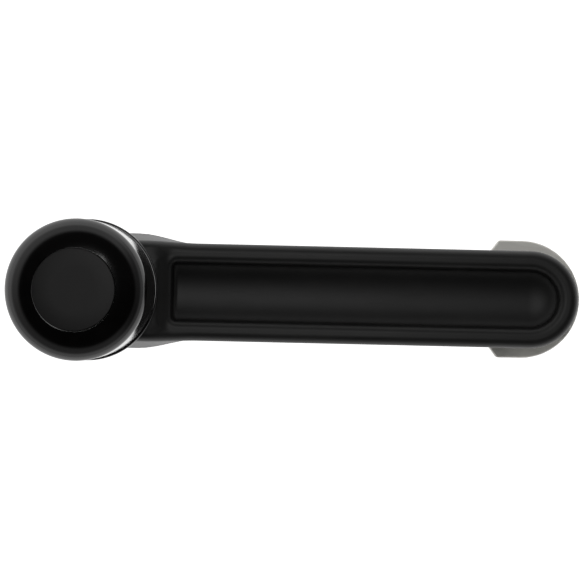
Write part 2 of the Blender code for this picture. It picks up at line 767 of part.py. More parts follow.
def make_bearings():
    thrust_top = THRUST_BOTTOM + THRUST_THICKNESS
    piece(ring("thrust_washer", BUSH_INNER, THRUST_RADIUS, THRUST_BOTTOM, thrust_top), STEEL, KNOB)
    flange = LOWER_BUSH_BOTTOM + BUSH_FLANGE
    lower = [
        (BUSH_INNER, flange + BUSH_LENGTH),
        (BUSH_OUTER, flange + BUSH_LENGTH),
        (BUSH_OUTER, flange),
        (BUSH_FLANGE_RADIUS, flange),
        (BUSH_FLANGE_RADIUS, LOWER_BUSH_BOTTOM),
        (BUSH_INNER, LOWER_BUSH_BOTTOM),
    ]
    piece(turned("lower_bush", lower), ACETAL, KNOB)
    flange = UPPER_BUSH_TOP - BUSH_FLANGE
    upper = [
        (BUSH_INNER, UPPER_BUSH_TOP),
        (BUSH_FLANGE_RADIUS, UPPER_BUSH_TOP),
        (BUSH_FLANGE_RADIUS, flange),
        (BUSH_OUTER, flange),
        (BUSH_OUTER, flange - BUSH_LENGTH),
        (BUSH_INNER, flange - BUSH_LENGTH),
    ]
    piece(turned("upper_bush", upper), ACETAL, KNOB)


def make_retainer():
    top = RETAINER_BOTTOM + RETAINER_THICKNESS
    washer = ring("retaining_washer", RETAINING_SCREW_RADIUS + GAP, RETAINER_RADIUS, RETAINER_BOTTOM, top)
    piece(washer, STEEL, KNOB)
    chamfer = 0.0008
    screw_bottom = RETAINING_HEAD_BOTTOM - RETAINING_SCREW_LENGTH
    profile = [
        (0, RETAINING_HEAD_TOP),
        (RETAINING_HEAD_RADIUS - chamfer, RETAINING_HEAD_TOP),
        (RETAINING_HEAD_RADIUS, RETAINING_HEAD_TOP - chamfer),
        (RETAINING_HEAD_RADIUS, RETAINING_HEAD_BOTTOM),
        (RETAINING_SCREW_RADIUS, RETAINING_HEAD_BOTTOM),
        (RETAINING_SCREW_RADIUS, screw_bottom),
        (0, screw_bottom),
    ]
    screw = piece(turned("retaining_screw", profile), STEEL, KNOB)
    socket_floor = RETAINING_HEAD_TOP - 2 * SOCKET_DEPTH
    socket = rod("retaining_socket", 2 * SOCKET_RADIUS, socket_floor, RETAINING_HEAD_TOP + chamfer, 6)
    cut(screw, helper(socket, KNOB))


# Knob


def dome(radius, inner, top, height, steps=6):
    """A quarter of an oval from the inner radius at the top out to the radius, lower by height."""
    points = []
    for step in range(steps + 1):
        turn = math.pi / 2 * step / steps
        across = inner + (radius - inner) * math.sin(turn)
        points.append((across, top - height * (1 - math.cos(turn))))
    return points


def shell_profile():
    rim = CAP_RADIUS + GAP
    shoulder = dome(KNOB_SHOULDER_RADIUS, rim, KNOB_TOP, KNOB_ROUNDING)
    roof = dome(KNOB_SHOULDER_RADIUS - KNOB_WALL, rim, KNOB_TOP - KNOB_ROUNDING / 2, KNOB_ROUNDING / 2, 4)
    well_outer = WELL_RADIUS + WELL_WALL
    well_bottom = UPPER_BUSH_TOP - BUSH_FLANGE - GAP
    tube_bottom = LOWER_BUSH_BOTTOM + BUSH_FLANGE + GAP
    neck = well_bottom - WELL_WALL
    profile = [(rim, CAP_SEAT)]
    profile += shoulder
    profile += [(KNOB_FOOT_RADIUS, SHELL_BOTTOM), (KNOB_FOOT_RADIUS - KNOB_WALL, SHELL_BOTTOM)]
    profile += reversed(roof)
    profile += [
        (well_outer, KNOB_TOP - KNOB_ROUNDING / 2),
        (well_outer, well_bottom),
        (TUBE_OUTER, neck),
        (TUBE_OUTER, tube_bottom),
        (TUBE_INNER, tube_bottom),
        (TUBE_INNER, well_bottom),
        (WELL_RADIUS, well_bottom),
        (WELL_RADIUS, CAP_SEAT),
    ]
    return profile


def base_screw_place(number):
    return around(BASE_SCREW_CIRCLE, 60 + number * 360 / BASE_SCREW_COUNT)


def make_grip_shell():
    shell = piece(turned("grip_shell", shell_profile(), ROUND), KNOB_PLASTIC, KNOB)
    post_bottom = SHELL_BOTTOM + BASE_STEP_HEIGHT
    for number in range(BASE_SCREW_COUNT):
        place = base_screw_place(number)
        post_top = post_bottom + BASE_POST_HEIGHT
        post = rod(f"base_post_{number + 1}", BASE_POST_RADIUS, post_bottom, post_top, SMALL_ROUND, place)
        join(shell, helper(post, KNOB))
    for number in range(BASE_SCREW_COUNT):
        place = base_screw_place(number)
        hole_top = KNOB_BOTTOM + SCREW_LENGTH + 2 * GAP
        name = f"post_hole_{number + 1}"
        hole = rod(name, SCREW_RADIUS + FIT, SHELL_BOTTOM, hole_top, SMALL_ROUND, place)
        cut(shell, helper(hole, KNOB))


def make_grip_base():
    step_top = SHELL_BOTTOM - GAP + BASE_STEP_HEIGHT
    lip_top = KNOB_BOTTOM + LIP_HEIGHT
    step_outer = KNOB_FOOT_RADIUS - KNOB_WALL - 2 * GAP
    groove_roof = KNOB_BOTTOM + SEAL_DEPTH + GAP
    rounding = LIP_HEIGHT / 3
    profile = [
        (BASE_STEP_INNER, step_top),
        (step_outer, step_top),
        (step_outer, lip_top),
        (LIP_RADIUS - rounding, lip_top),
        (LIP_RADIUS, lip_top - rounding),
        (LIP_RADIUS, KNOB_BOTTOM + rounding),
        (LIP_RADIUS - rounding, KNOB_BOTTOM),
        (SEAL_INNER + SEAL_WIDTH + GAP, KNOB_BOTTOM),
        (SEAL_INNER + SEAL_WIDTH + GAP, groove_roof),
        (SEAL_INNER - GAP, groove_roof),
        (SEAL_INNER - GAP, KNOB_BOTTOM),
        (BASE_HOLE_RADIUS, KNOB_BOTTOM),
        (BASE_HOLE_RADIUS, lip_top),
        (BASE_STEP_INNER, lip_top),
    ]
    base = piece(turned("grip_base", profile, ROUND), KNOB_PLASTIC, KNOB)
    clear = 0.003
    for number in range(BASE_SCREW_COUNT):
        place = base_screw_place(number)
        name = f"base_screw_{number + 1}"
        bottom = KNOB_BOTTOM + SCREW_SUNK
        hole = countersunk(name + "_hole", bottom, LIP_HEIGHT + clear, place, GAP, clear)
        cut(base, helper(hole, KNOB))
        screw_piece(name, bottom, SCREW_LENGTH, place, KNOB)


def make_knob_trim():
    seal_top = KNOB_BOTTOM + SEAL_DEPTH
    seal = ring("dust_seal", SEAL_INNER, SEAL_INNER + SEAL_WIDTH, BOSS_TOP + GAP, seal_top, ROUND)
    piece(seal, RUBBER, KNOB)
    edge = 0.0004
    top = KNOB_TOP
    spigot_outer = WELL_RADIUS - GAP
    spigot_bottom = CAP_SEAT - CAP_DEPTH
    profile = [
        (0, top),
        (CAP_RADIUS - edge, top),
        (CAP_RADIUS, top - edge),
        (CAP_RADIUS, CAP_SEAT + GAP),
        (spigot_outer, CAP_SEAT + GAP),
        (spigot_outer, spigot_bottom),
        (spigot_outer - CAP_DEPTH, spigot_bottom),
        (spigot_outer - CAP_DEPTH, CAP_SEAT + GAP),
        (0, CAP_SEAT + GAP),
    ]
    piece(turned("grip_cap", profile, ROUND), CAP_PLASTIC, KNOB)


clear_scene()
PARTS = new_collection("winch_handle")
HELPERS = new_collection("cutters")
DRIVE = new_axis("drive_axis", (0, 0, 0))
KNOB = new_axis("knob_axis", KNOB_AXIS)

NYLON = new_material("black_nylon", (0.020, 0.020, 0.019), 0.45)
KNOB_PLASTIC = new_material("black_knob_plastic", (0.014, 0.014, 0.014), 0.22)
CAP_PLASTIC = new_material("satin_cap_plastic", (0.022, 0.021, 0.020), 0.40)
GREY = new_material("grey_nylon", (0.30, 0.30, 0.27), 0.50)
STEEL = new_material("stainless_steel", (0.60, 0.60, 0.58), 0.30, 1.0)
BRASS = new_material("brass", (0.70, 0.52, 0.24), 0.35, 1.0)
ACETAL = new_material("white_acetal", (0.80, 0.80, 0.77), 0.40)
RUBBER = new_material("black_rubber", (0.015, 0.015, 0.015), 0.70)

make_arm_body()
make_drive_hub()
make_hub_fasteners()
make_lock_plunger()
make_cross_pin()
make_lock_balls()
make_lock_spring()
make_spring_cap()
make_lock_collar()
make_grip_spindle()
make_spindle_fasteners()
make_bearings()
make_retainer()
make_grip_shell()
make_grip_base()
make_knob_trim()
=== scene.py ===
"""The looks of a winch handle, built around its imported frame.

A moulded arm, a turning palm knob, a steel drive and a lift-to-release collar."""

import math

import bmesh
import bpy
from mathutils import Matrix, Vector


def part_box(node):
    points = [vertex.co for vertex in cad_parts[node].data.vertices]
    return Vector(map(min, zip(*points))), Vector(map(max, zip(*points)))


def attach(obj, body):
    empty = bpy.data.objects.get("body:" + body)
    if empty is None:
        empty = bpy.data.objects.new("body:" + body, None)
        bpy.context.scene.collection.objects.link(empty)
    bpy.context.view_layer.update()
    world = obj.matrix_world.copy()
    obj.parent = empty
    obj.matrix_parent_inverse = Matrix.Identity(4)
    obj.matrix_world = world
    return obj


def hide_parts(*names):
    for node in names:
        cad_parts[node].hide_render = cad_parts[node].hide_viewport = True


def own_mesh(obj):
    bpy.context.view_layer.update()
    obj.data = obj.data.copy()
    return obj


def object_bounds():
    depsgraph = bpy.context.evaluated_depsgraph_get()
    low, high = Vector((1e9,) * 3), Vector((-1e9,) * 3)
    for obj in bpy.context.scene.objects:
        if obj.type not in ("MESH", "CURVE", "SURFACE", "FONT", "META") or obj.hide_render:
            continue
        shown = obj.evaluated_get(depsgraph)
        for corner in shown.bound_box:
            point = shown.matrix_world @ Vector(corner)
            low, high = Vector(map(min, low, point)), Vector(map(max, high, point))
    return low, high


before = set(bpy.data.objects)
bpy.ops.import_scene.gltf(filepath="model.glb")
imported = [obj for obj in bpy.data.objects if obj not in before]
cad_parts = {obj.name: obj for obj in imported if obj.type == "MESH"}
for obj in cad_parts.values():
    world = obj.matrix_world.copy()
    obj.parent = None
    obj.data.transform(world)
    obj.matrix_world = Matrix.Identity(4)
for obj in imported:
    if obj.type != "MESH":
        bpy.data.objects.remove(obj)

bl_info = {
    "name": "Winch Handle",
    "version": (1, 0, 0),
    "blender": (4, 5, 0),
    "location": "View3D > Sidebar > Winch Handle",
    "description": "Builds a winch handle's pieces, finishes and studio around its packed frame",
    "category": "Add Mesh",
}

FRAME_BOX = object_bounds()
TINY = 0.000001
FINE = 96  # sides of a large turned piece
PLAIN = 48  # sides of a small one
KNOB_SIDES = 144  # sides of the knob, whose round edge shows most
END_STEPS = 36  # round the drive end of the arm
BOSS_STEPS = 36  # round the boss
CORNER_STEPS = 6  # in a corner of the trough
CUT_CLEAR = 0.004  # how far a cutter runs past what it cuts
FIT = 0.0003  # between two pieces that fit together
STUD_RADIUS = 0.0053  # hole for the spindle's threaded end
TUBE_BORE = 0.0090  # radius of the knob's tube round the bushes
WELL_RADIUS = 0.0139  # outside of the well under the cap
PLUG_HOLE = 0.0113  # radius of the cap's hole
SLEEVE_RADIUS = 0.0180  # outside of the collar's sleeve
HEXAGON = math.cos(math.pi / 6)  # a hexagon's flat over its corner


def middle(node):
    """The middle of a node of the frame, seen from above."""
    low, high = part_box(node)
    return Vector(((low.x + high.x) / 2, (low.y + high.y) / 2, 0))


def half_width(node):
    low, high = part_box(node)
    return (high.y - low.y) / 2


ARM_LOW, ARM_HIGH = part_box("arm_body")
HUB_LOW, HUB_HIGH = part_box("drive_hub")
SHELL_LOW, SHELL_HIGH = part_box("grip_shell")
BASE_LOW, BASE_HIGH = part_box("grip_base")
CAP_LOW, CAP_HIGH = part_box("grip_cap")
COLLAR_LOW, COLLAR_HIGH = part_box("lock_collar")
DRIVE_AXIS = Vector((0, 0, 0))
KNOB_AXIS = middle("grip_shell")
BALL_COUNT = 4
HUB_SCREWS = [f"hub_screw_{number}" for number in range(1, 5)]
BASE_SCREWS = [f"base_screw_{number}" for number in range(1, 4)]
BALLS = [f"lock_ball_{number}" for number in range(1, BALL_COUNT + 1)]


def number(name, description, default, low=0.0, high=5.0, **kind):
    return bpy.props.FloatProperty(
        name=name, description=description, default=default, min=low, max=high, **kind
    )


def size(name, description, default, high=0.5):
    return number(name, description, default, high=high, precision=5, subtype="DISTANCE", unit="LENGTH")


def share(name, description, default):
    return number(name, description, default, high=1.0, subtype="FACTOR")


def spot(name, description, default):
    return bpy.props.FloatVectorProperty(
        name=name, description=description, default=default, size=3, subtype="TRANSLATION", unit="LENGTH"
    )


def colour(name, description, default):
    return bpy.props.FloatVectorProperty(
        name=name, description=description, default=default, size=3, min=0.0, max=1.0, subtype="COLOR"
    )


class ArmSizes(bpy.types.PropertyGroup):
    rim_width: size("Rim width", "Across the rim on each side of the trough", 0.0092)
    rim_inner: size("Inner rounding", "Radius of the rim's inner edge", 0.0034)
    rim_outer: size("Outer rounding", "Radius of the rim's outer edge", 0.0040)
    crown: size("Crown", "How much the rim rises to its middle", 0.00003)
    trough_depth: size("Trough depth", "From the rim down to the trough's floor", 0.0090)
    trough_wall: size("Upright wall", "How far down the trough's side the oval floor starts", 0.0035)
    trough_from_knob: size("Trough to knob", "From the knob's axis to the end of the trough", 0.0383)
    trough_corner: size("Trough corner", "Rounding of the trough's square end", 0.0022)
    boss_rise: size("Boss rise", "How far the boss stands above the rim", 0.0025)
    ramp_near: size("Ramp top", "From the knob's axis to the top of the ramp", 0.0300)
    ramp_far: size("Ramp foot", "From the knob's axis to the foot of the ramp", 0.0370)
    flare_near: size("Flare start", "From the knob's axis to where the arm starts to narrow", 0.0210)
    flare_far: size("Flare end", "From the knob's axis to where the arm is at its narrowest", 0.0500)
    boss_draft: size("Boss draft", "How far the boss's sides lean in towards its top", 0.0038)
    bottom_edge: size("Bottom rounding", "Radius of the arm's lower edge", 0.0022)
    pocket_rib: size("Pocket rib", "Between two pockets under the arm", 0.0030)
    pocket_side: size("Pocket side", "From the arm's side to a pocket", 0.0055)
    pocket_roof: size("Pocket roof", "Between a pocket and the trough", 0.0035)
    pocket_corner: size("Pocket corner", "Rounding of a pocket's corners", 0.0030)
    pocket_from_knob: size("Pockets to knob", "From the knob's axis to the first pocket", 0.0380)
    pocket_from_collar: size("Pockets to collar", "From the collar to the last pocket", 0.0040)
    pocket_count: bpy.props.IntProperty(
        name="Pockets", description="How many pockets are under the arm", default=5, min=1, max=9
    )
    nut_recess: size("Nut recess", "Radius of the recess for the spindle's nut", 0.0110)
    nut_recess_depth: size("Nut recess depth", "Depth of the recess for the spindle's nut", 0.0100)


class KnobSizes(bpy.types.PropertyGroup):
    shoulder: size("Shoulder radius", "Radius of the knob under its rounded top edge", 0.0309)
    rounding: size("Rounded height", "Height of the knob's rounded top edge", 0.0085)
    lead: share("Dish", "Where on its oval the knob's top starts beside the cap", 0.24)
    wall: size("Wall", "Thickness of the knob's wall", 0.0026)
    cap_gap: size("Cap gap", "Between the cap and the knob", 0.0003)
    cap_edge: size("Cap edge", "Rounding of the cap's edge", 0.0005)
    seal_width: size("Seal width", "Across the dust seal's ring", 0.0040)
    hole: size("Base hole", "Radius of the hole in the knob's base", 0.0135)


class DriveSizes(bpy.types.PropertyGroup):
    flats: size("Across flats", "Across each square of the eight-point star", 0.01746)
    blunt: size("Blunt points", "How far the star's points are cut back", 0.00045)
    chamfer: size("Tip chamfer", "Chamfer round the spigot's tip", 0.0015)
    shoulder: size("Shoulder", "How far the column stands out past the star", 0.0011)
    flange: size("Flange", "Thickness of the flange under the arm", 0.0030)
    hexagon: size("Hexagon", "Across the flats of the hexagon in the arm", 0.0240)
    ball_inset: size("Ball lip", "How much narrower than a ball its mouth is", 0.00015)
    lift: size("Lift", "How far the collar lifts", 0.0060)
    wing_edge: size("Wing rounding", "Rounding of the collar's edges", 0.0010)
    wing_thickness: size("Wing thickness", "Thickness of the collar's wings", 0.0050)
    wing_straight: size("Wing straight", "Length of the wings' straight sides", 0.0110)
    spring_wire: size("Spring wire", "Diameter of the spring's wire", 0.0010)
    spring_turns: number("Spring turns", "Turns in the lock's spring", 5.5, 1.0, 20.0)


class FinishColours(bpy.types.PropertyGroup):
    arm: colour("Arm", "Black glass-filled nylon of the arm", (0.0046, 0.0045, 0.0043))
    knob: colour("Knob", "Black moulded plastic of the knob", (0.0022, 0.0020, 0.0020))
    cap: colour("Cap", "Satin black disc on the knob", (0.0050, 0.0046, 0.0046))
    collar: colour("Collar", "Warm grey nylon of the collar", (0.720, 0.710, 0.665))
    steel: colour("Steel", "Machined stainless steel", (0.46, 0.45, 0.43))
    brass: colour("Brass", "Threaded inserts", (0.72, 0.50, 0.20))
    acetal: colour("Acetal", "White bearing plastic", (0.80, 0.80, 0.76))
    rubber: colour("Rubber", "Black dust seal", (0.014, 0.014, 0.014))
    arm_roughness: share("Arm roughness", "Roughness of the arm's satin surface", 0.48)
    knob_roughness: share("Knob roughness", "Roughness of the knob's gloss", 0.12)
    cap_roughness: share("Cap roughness", "Roughness of the cap", 0.46)


class StudioSettings(bpy.types.PropertyGroup):
    floor_glow: number("Floor glow", "Light that the pale floor gives off", 1.02)
    horizon: number("Horizon", "Brightness of the lower half of the room", 0.36)
    skirting: number("Skirting", "Extra brightness of the room where it meets the floor", 0.6)
    ceiling: number("Ceiling", "Brightness of the room overhead", 0.008)
    softbox_power: number("Softbox power", "Watts of the overhead softbox", 2.9, high=500.0)
    softbox_size: size("Softbox size", "Side of the overhead softbox", 0.52, high=5.0)
    softbox_place: spot("Softbox place", "Where the softbox hangs", (-0.17, 0.19, 1.45))
    camera_place: spot("Camera place", "Where the camera hangs", (-0.1102, 0.0015, 0.745))
    camera_lens: number("Lens", "Focal length in millimetres", 94.24, 10.0, 300.0)
    camera_turn: number(
        "Turn", "Turn of the camera about its axis", math.radians(1.30), -3.2, 3.2, subtype="ANGLE", unit="ROTATION"
    )


# Mesh tools


def kinds(items, kind):
    return [item for item in items if isinstance(item, kind)]


def chain(shape, points, closed=False):
    """Vertices at the points, joined one after another by edges."""
    verts = [shape.verts.new(point) for point in points]
    pairs = list(zip(verts, verts[1:]))
    if closed:
        pairs.append((verts[-1], verts[0]))
    return verts, [shape.edges.new(pair) for pair in pairs]


def drawn_out(shape, edges, vec):
    """Extrudes edges by vec and returns the new edges."""
    made = bmesh.ops.extrude_edge_only(shape, edges=edges)["geom"]
    moved = set(kinds(made, bmesh.types.BMVert))
    bmesh.ops.translate(shape, vec=vec, verts=list(moved))
    return [edge for edge in shape.edges if edge.verts[0] in moved and edge.verts[1] in moved]


def raised(shape, face, vec):
    """Draws a face out into a block and returns its far face."""
    made = bmesh.ops.extrude_face_region(shape, geom=[face])["geom"]
    far = kinds(made, bmesh.types.BMFace)[0]
    bmesh.ops.translate(shape, vec=vec, verts=far.verts)
    return far


def rounded(shape, geom, offset, segments, affect="VERTICES"):
    bmesh.ops.bevel(shape, geom=geom, offset=offset, segments=segments, profile=0.5, affect=affect, material=-1)


def ring_at(shape, radius, level=0.0):
    """The edges of a circle round the upright axis."""

    def on_ring(vert):
        return abs(vert.co.z - level) < TINY and abs(math.hypot(vert.co.x, vert.co.y) - radius) < TINY * 10

    return [edge for edge in shape.edges if all(on_ring(vert) for vert in edge.verts)]


def bridged(shape, first, second):
    """Joins two rings with faces, a thousand times larger, where bridging can tell their directions."""
    bmesh.ops.scale(shape, vec=(1000, 1000, 1000), verts=shape.verts)
    bmesh.ops.bridge_loops(shape, edges=list(first) + list(second))
    bmesh.ops.scale(shape, vec=(0.001, 0.001, 0.001), verts=shape.verts)


def stepped(shape, face, steps):
    """Draws a flat face of a closed shape in and out of it: each step is (how far in, how far out)."""
    bmesh.ops.recalc_face_normals(shape, faces=shape.faces)
    for inward, upward in steps:
        thickness = max(inward, TINY)
        bmesh.ops.inset_region(
            shape, faces=[face], thickness=thickness, depth=upward, use_even_offset=True, use_boundary=True
        )
    return face


def quarter(inward, upward, count=6):
    """Steps of a rounding that starts upright and ends flat."""
    steps = []
    for number in range(count):
        start, end = (math.pi / 2 * step / count for step in (number, number + 1))
        steps.append((inward * (math.cos(start) - math.cos(end)), upward * (math.sin(end) - math.sin(start))))
    return steps


def quarter_in(inward, upward, count=6):
    """Steps of a rounding that starts flat and ends upright."""
    return quarter(inward, upward, count)[::-1]


def turned(corners, axis=DRIVE_AXIS, sides=PLAIN, segments=4):
    """A turned shape. Each corner is (radius, level) or (radius, level, rounding).
    The section closes itself unless it starts on the axis."""
    shape = bmesh.new()
    points = [(axis.x + corner[0], axis.y, corner[1]) for corner in corners]
    verts, _ = chain(shape, points, closed=corners[0][0] > 0)
    roundings = {}
    for vert, corner in zip(verts, corners):
        if len(corner) > 2:
            roundings.setdefault(corner[2], []).append(vert)
    for rounding, corners_of_it in roundings.items():
        rounded(shape, corners_of_it, rounding, segments)
    section = shape.verts[:] + shape.edges[:]
    full = 2 * math.pi
    bmesh.ops.spin(shape, geom=section, cent=axis, axis=(0, 0, 1), angle=full, steps=sides, use_merge=True)
    bmesh.ops.remove_doubles(shape, verts=shape.verts, dist=TINY)
    bmesh.ops.recalc_face_normals(shape, faces=shape.faces)
    return shape


def cylinder(radius, bottom, top, axis=DRIVE_AXIS, sides=PLAIN):
    shape = bmesh.new()
    bmesh.ops.create_cone(
        shape, cap_ends=True, segments=sides, radius1=radius, radius2=radius, depth=top - bottom,
        matrix=Matrix.Translation((axis.x, axis.y, (top + bottom) / 2)),
    )
    return shape


def round_block(low, high, corner, floor_rounding, mouth=0.0, draft=0.0):
    """A cutter for a pocket: a block with rounded upright corners and a rounded top. Its mouth is flared."""
    shape = bmesh.new()
    wide, deep = high[0] - low[0] + 2 * mouth, high[1] - low[1] + 2 * mouth
    centre = Vector(((low[0] + high[0]) / 2, (low[1] + high[1]) / 2, low[2] - CUT_CLEAR))
    laid = Matrix.Translation(centre) @ Matrix.Diagonal((wide, deep, 1, 1))
    bmesh.ops.create_grid(shape, x_segments=1, y_segments=1, size=0.5, matrix=laid)
    rounded(shape, shape.verts[:], corner + mouth, 8)
    face = raised(shape, shape.faces[:][0], (0, 0, CUT_CLEAR - mouth * 0.15))
    steps = quarter_in(mouth, mouth, 4) if mouth else []
    height = high[2] - low[2] - mouth * 0.85 - floor_rounding
    steps.append((draft, height))
    steps += quarter(floor_rounding, floor_rounding, 6)
    stepped(shape, face, steps)
    return shape


def loose_object(shape, name):
    mesh = bpy.data.meshes.new(name)
    shape.to_mesh(mesh)
    shape.free()
    obj = bpy.data.objects.new(name, mesh)
    bpy.context.scene.collection.objects.link(obj)
    return obj


def carved(shape, cutters, operation="DIFFERENCE"):
    """The shape after a Boolean with each of the others."""
    base = loose_object(shape, "carved")
    others = [loose_object(cutter, "cutter") for cutter in cutters]
    for other in others:
        modifier = base.modifiers.new("carve", "BOOLEAN")
        modifier.operation = operation
        modifier.solver = "EXACT"
        modifier.object = other
    graph = bpy.context.evaluated_depsgraph_get()
    mesh = bpy.data.meshes.new_from_object(base.evaluated_get(graph))
    result = bmesh.new()
    result.from_mesh(mesh)
    for obj in [base, *others]:
        bpy.data.objects.remove(obj)
    bpy.data.meshes.remove(mesh)
    return result


def finished(shape, name, material, body, nodes, sharp=32.0):
    """Makes the piece's object, gives it its finish, and ties it to its body."""
    obj = loose_object(shape, name)
    mesh = obj.data
    for polygon in mesh.polygons:
        polygon.use_smooth = True
    mesh.set_sharp_from_angle(angle=math.radians(sharp))
    mesh.materials.append(bpy.data.materials[material])
    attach(obj, body)
    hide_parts(*nodes)
    return obj


# Finishes


def link(tree, socket, value):
    """Joins an output to the socket, or sets the socket's own value."""
    if isinstance(value, bpy.types.NodeSocket):
        tree.links.new(value, socket)
    elif isinstance(value, (tuple, list)) and socket.type == "RGBA":
        socket.default_value = (*value[:3], 1.0)
    else:
        socket.default_value = value


def add(tree, kind, inputs=(), **settings):
    """A node with its settings, and its inputs given by name or number."""
    node = tree.nodes.new(kind)
    for key, value in settings.items():
        setattr(node, key, value)
    for key, value in dict(inputs).items():
        link(tree, node.inputs[key], value)
    return node


def maths(tree, operation, first, second=0.0, third=0.0, clamp=False):
    node = add(tree, "ShaderNodeMath", {0: first, 1: second, 2: third}, operation=operation, use_clamp=clamp)
    return node.outputs[0]


def ranged(tree, value, low, high, to_low=0.0, to_high=1.0, smooth=False):
    node = add(
        tree, "ShaderNodeMapRange",
        {"Value": value, "From Min": low, "From Max": high, "To Min": to_low, "To Max": to_high},
        interpolation_type="SMOOTHSTEP" if smooth else "LINEAR",
    )
    return node.outputs["Result"]


def mixed(tree, factor, first, second):
    node = add(tree, "ShaderNodeMix", {0: factor, 6: first, 7: second}, data_type="RGBA")
    return node.outputs[2]


def noise(tree, vector, scale, detail=2.0, roughness=0.5, distortion=0.0):
    node = add(
        tree, "ShaderNodeTexNoise",
        {"Vector": vector, "Scale": scale, "Detail": detail, "Roughness": roughness, "Distortion": distortion},
    )
    return node.outputs["Fac"]


def new_group(name, inputs, outputs):
    """A shader node group with its named sockets. Each input is (name, kind, default)."""
    tree = bpy.data.node_groups.new(name, "ShaderNodeTree")
    for label, kind, default in inputs:
        socket = tree.interface.new_socket(label, in_out="INPUT", socket_type=kind)
        if default is not None:
            socket.default_value = default
    for label in outputs:
        tree.interface.new_socket(label, in_out="OUTPUT", socket_type="NodeSocketFloat")
    start = tree.nodes.new("NodeGroupInput").outputs
    end = tree.nodes.new("NodeGroupOutput").inputs
    return tree, start, end


FLOAT, VECTOR = "NodeSocketFloat", "NodeSocketVector"


def grain_group():
    """Fine pebbled grain of a moulded surface, with slow flow marks under it."""
    tree, start, end = new_group(
        "Moulded grain", [("Vector", VECTOR, None), ("Size", FLOAT, 0.0004)], ["Height", "Flow", "Speckle"]
    )
    pitch = maths(tree, "DIVIDE", 1.0, start["Size"])
    packing = {"Vector": start["Vector"], "Scale": pitch, "Smoothness": 0.7}
    cells = add(tree, "ShaderNodeTexVoronoi", packing, feature="SMOOTH_F1")
    fine = noise(tree, start["Vector"], maths(tree, "MULTIPLY", pitch, 2.1), 3.0, 0.6)
    height = maths(tree, "MULTIPLY_ADD", fine, 0.55, maths(tree, "MULTIPLY", cells.outputs["Distance"], 0.8))
    stretched = add(tree, "ShaderNodeMapping", {"Vector": start["Vector"], "Scale": (0.35, 1.0, 1.0)})
    flow = noise(tree, stretched.outputs[0], 46.0, 4.0, 0.55, 0.8)
    speckle = noise(tree, start["Vector"], maths(tree, "MULTIPLY", pitch, 0.45), 2.0, 0.7)
    link(tree, end["Height"], height)
    link(tree, end["Flow"], flow)
    link(tree, end["Speckle"], speckle)
    return tree


def wear_group():
    """Where a hand has rubbed an edge: outer edges, broken up by noise."""
    tree, start, end = new_group(
        "Edge wear", [("Vector", VECTOR, None), ("Width", FLOAT, 0.0006), ("Break up", FLOAT, 0.5)], ["Mask"]
    )
    bevel = add(tree, "ShaderNodeBevel", {"Radius": start["Width"]}, samples=4)
    surface = add(tree, "ShaderNodeNewGeometry")
    both = {0: bevel.outputs[0], 1: surface.outputs["Normal"]}
    facing = add(tree, "ShaderNodeVectorMath", both, operation="DOT_PRODUCT")
    edge = ranged(tree, maths(tree, "SUBTRACT", 1.0, facing.outputs["Value"]), 0.01, 0.16, smooth=True)
    broken = noise(tree, start["Vector"], 420.0, 4.0, 0.65)
    threshold = maths(tree, "SUBTRACT", 0.62, maths(tree, "MULTIPLY", start["Break up"], 0.3))
    patchy = ranged(tree, broken, threshold, 0.72)
    link(tree, end["Mask"], maths(tree, "MULTIPLY", edge, patchy, clamp=True))
    return tree


def scratch_group():
    """Hair-fine handling scratches that run in two directions."""
    inputs = [("Vector", VECTOR, None), ("Amount", FLOAT, 0.5)]
    tree, start, end = new_group("Handling scratches", inputs, ["Mask"])
    total = None
    for turn, across in ((0.5, 1500.0), (2.2, 1150.0)):
        turned_so = {"Vector": start["Vector"], "Rotation": (0.2, 0.1, turn), "Scale": (38.0, across, 60.0)}
        laid = add(tree, "ShaderNodeMapping", turned_so)
        lines = noise(tree, laid.outputs[0], 1.0, 1.0, 0.4, 0.15)
        patch = noise(tree, start["Vector"], 55.0 + 20 * turn, 2.0)
        thin = ranged(tree, lines, 0.66, 0.74)
        mask = maths(tree, "MULTIPLY", thin, ranged(tree, patch, 0.45, 0.65))
        total = mask if total is None else maths(tree, "MAXIMUM", total, mask)
    link(tree, end["Mask"], maths(tree, "MULTIPLY", total, start["Amount"], clamp=True))
    return tree


def lathe_group():
    """Lines left by turning: rings round an upright axis, broken by finer ones."""
    tree, start, end = new_group(
        "Lathe lines", [("Vector", VECTOR, None), ("Pitch", FLOAT, 0.0003)], ["Height", "Tone"]
    )
    parts = add(tree, "ShaderNodeSeparateXYZ", {0: start["Vector"]}).outputs
    squared = maths(tree, "MULTIPLY_ADD", parts[0], parts[0], maths(tree, "MULTIPLY", parts[1], parts[1]))
    radius = maths(tree, "SQRT", squared)
    pitch = maths(tree, "DIVIDE", 1.0, start["Pitch"])
    rings, levels = maths(tree, "MULTIPLY", radius, pitch), maths(tree, "MULTIPLY", parts[2], pitch)
    across = add(tree, "ShaderNodeCombineXYZ", {0: rings, 1: levels})
    lines = noise(tree, across.outputs[0], 1.0, 3.0, 0.7)
    slow = noise(tree, across.outputs[0], 0.07, 2.0)
    link(tree, end["Height"], lines)
    link(tree, end["Tone"], maths(tree, "MULTIPLY_ADD", slow, 0.7, maths(tree, "MULTIPLY", lines, 0.3)))
    return tree


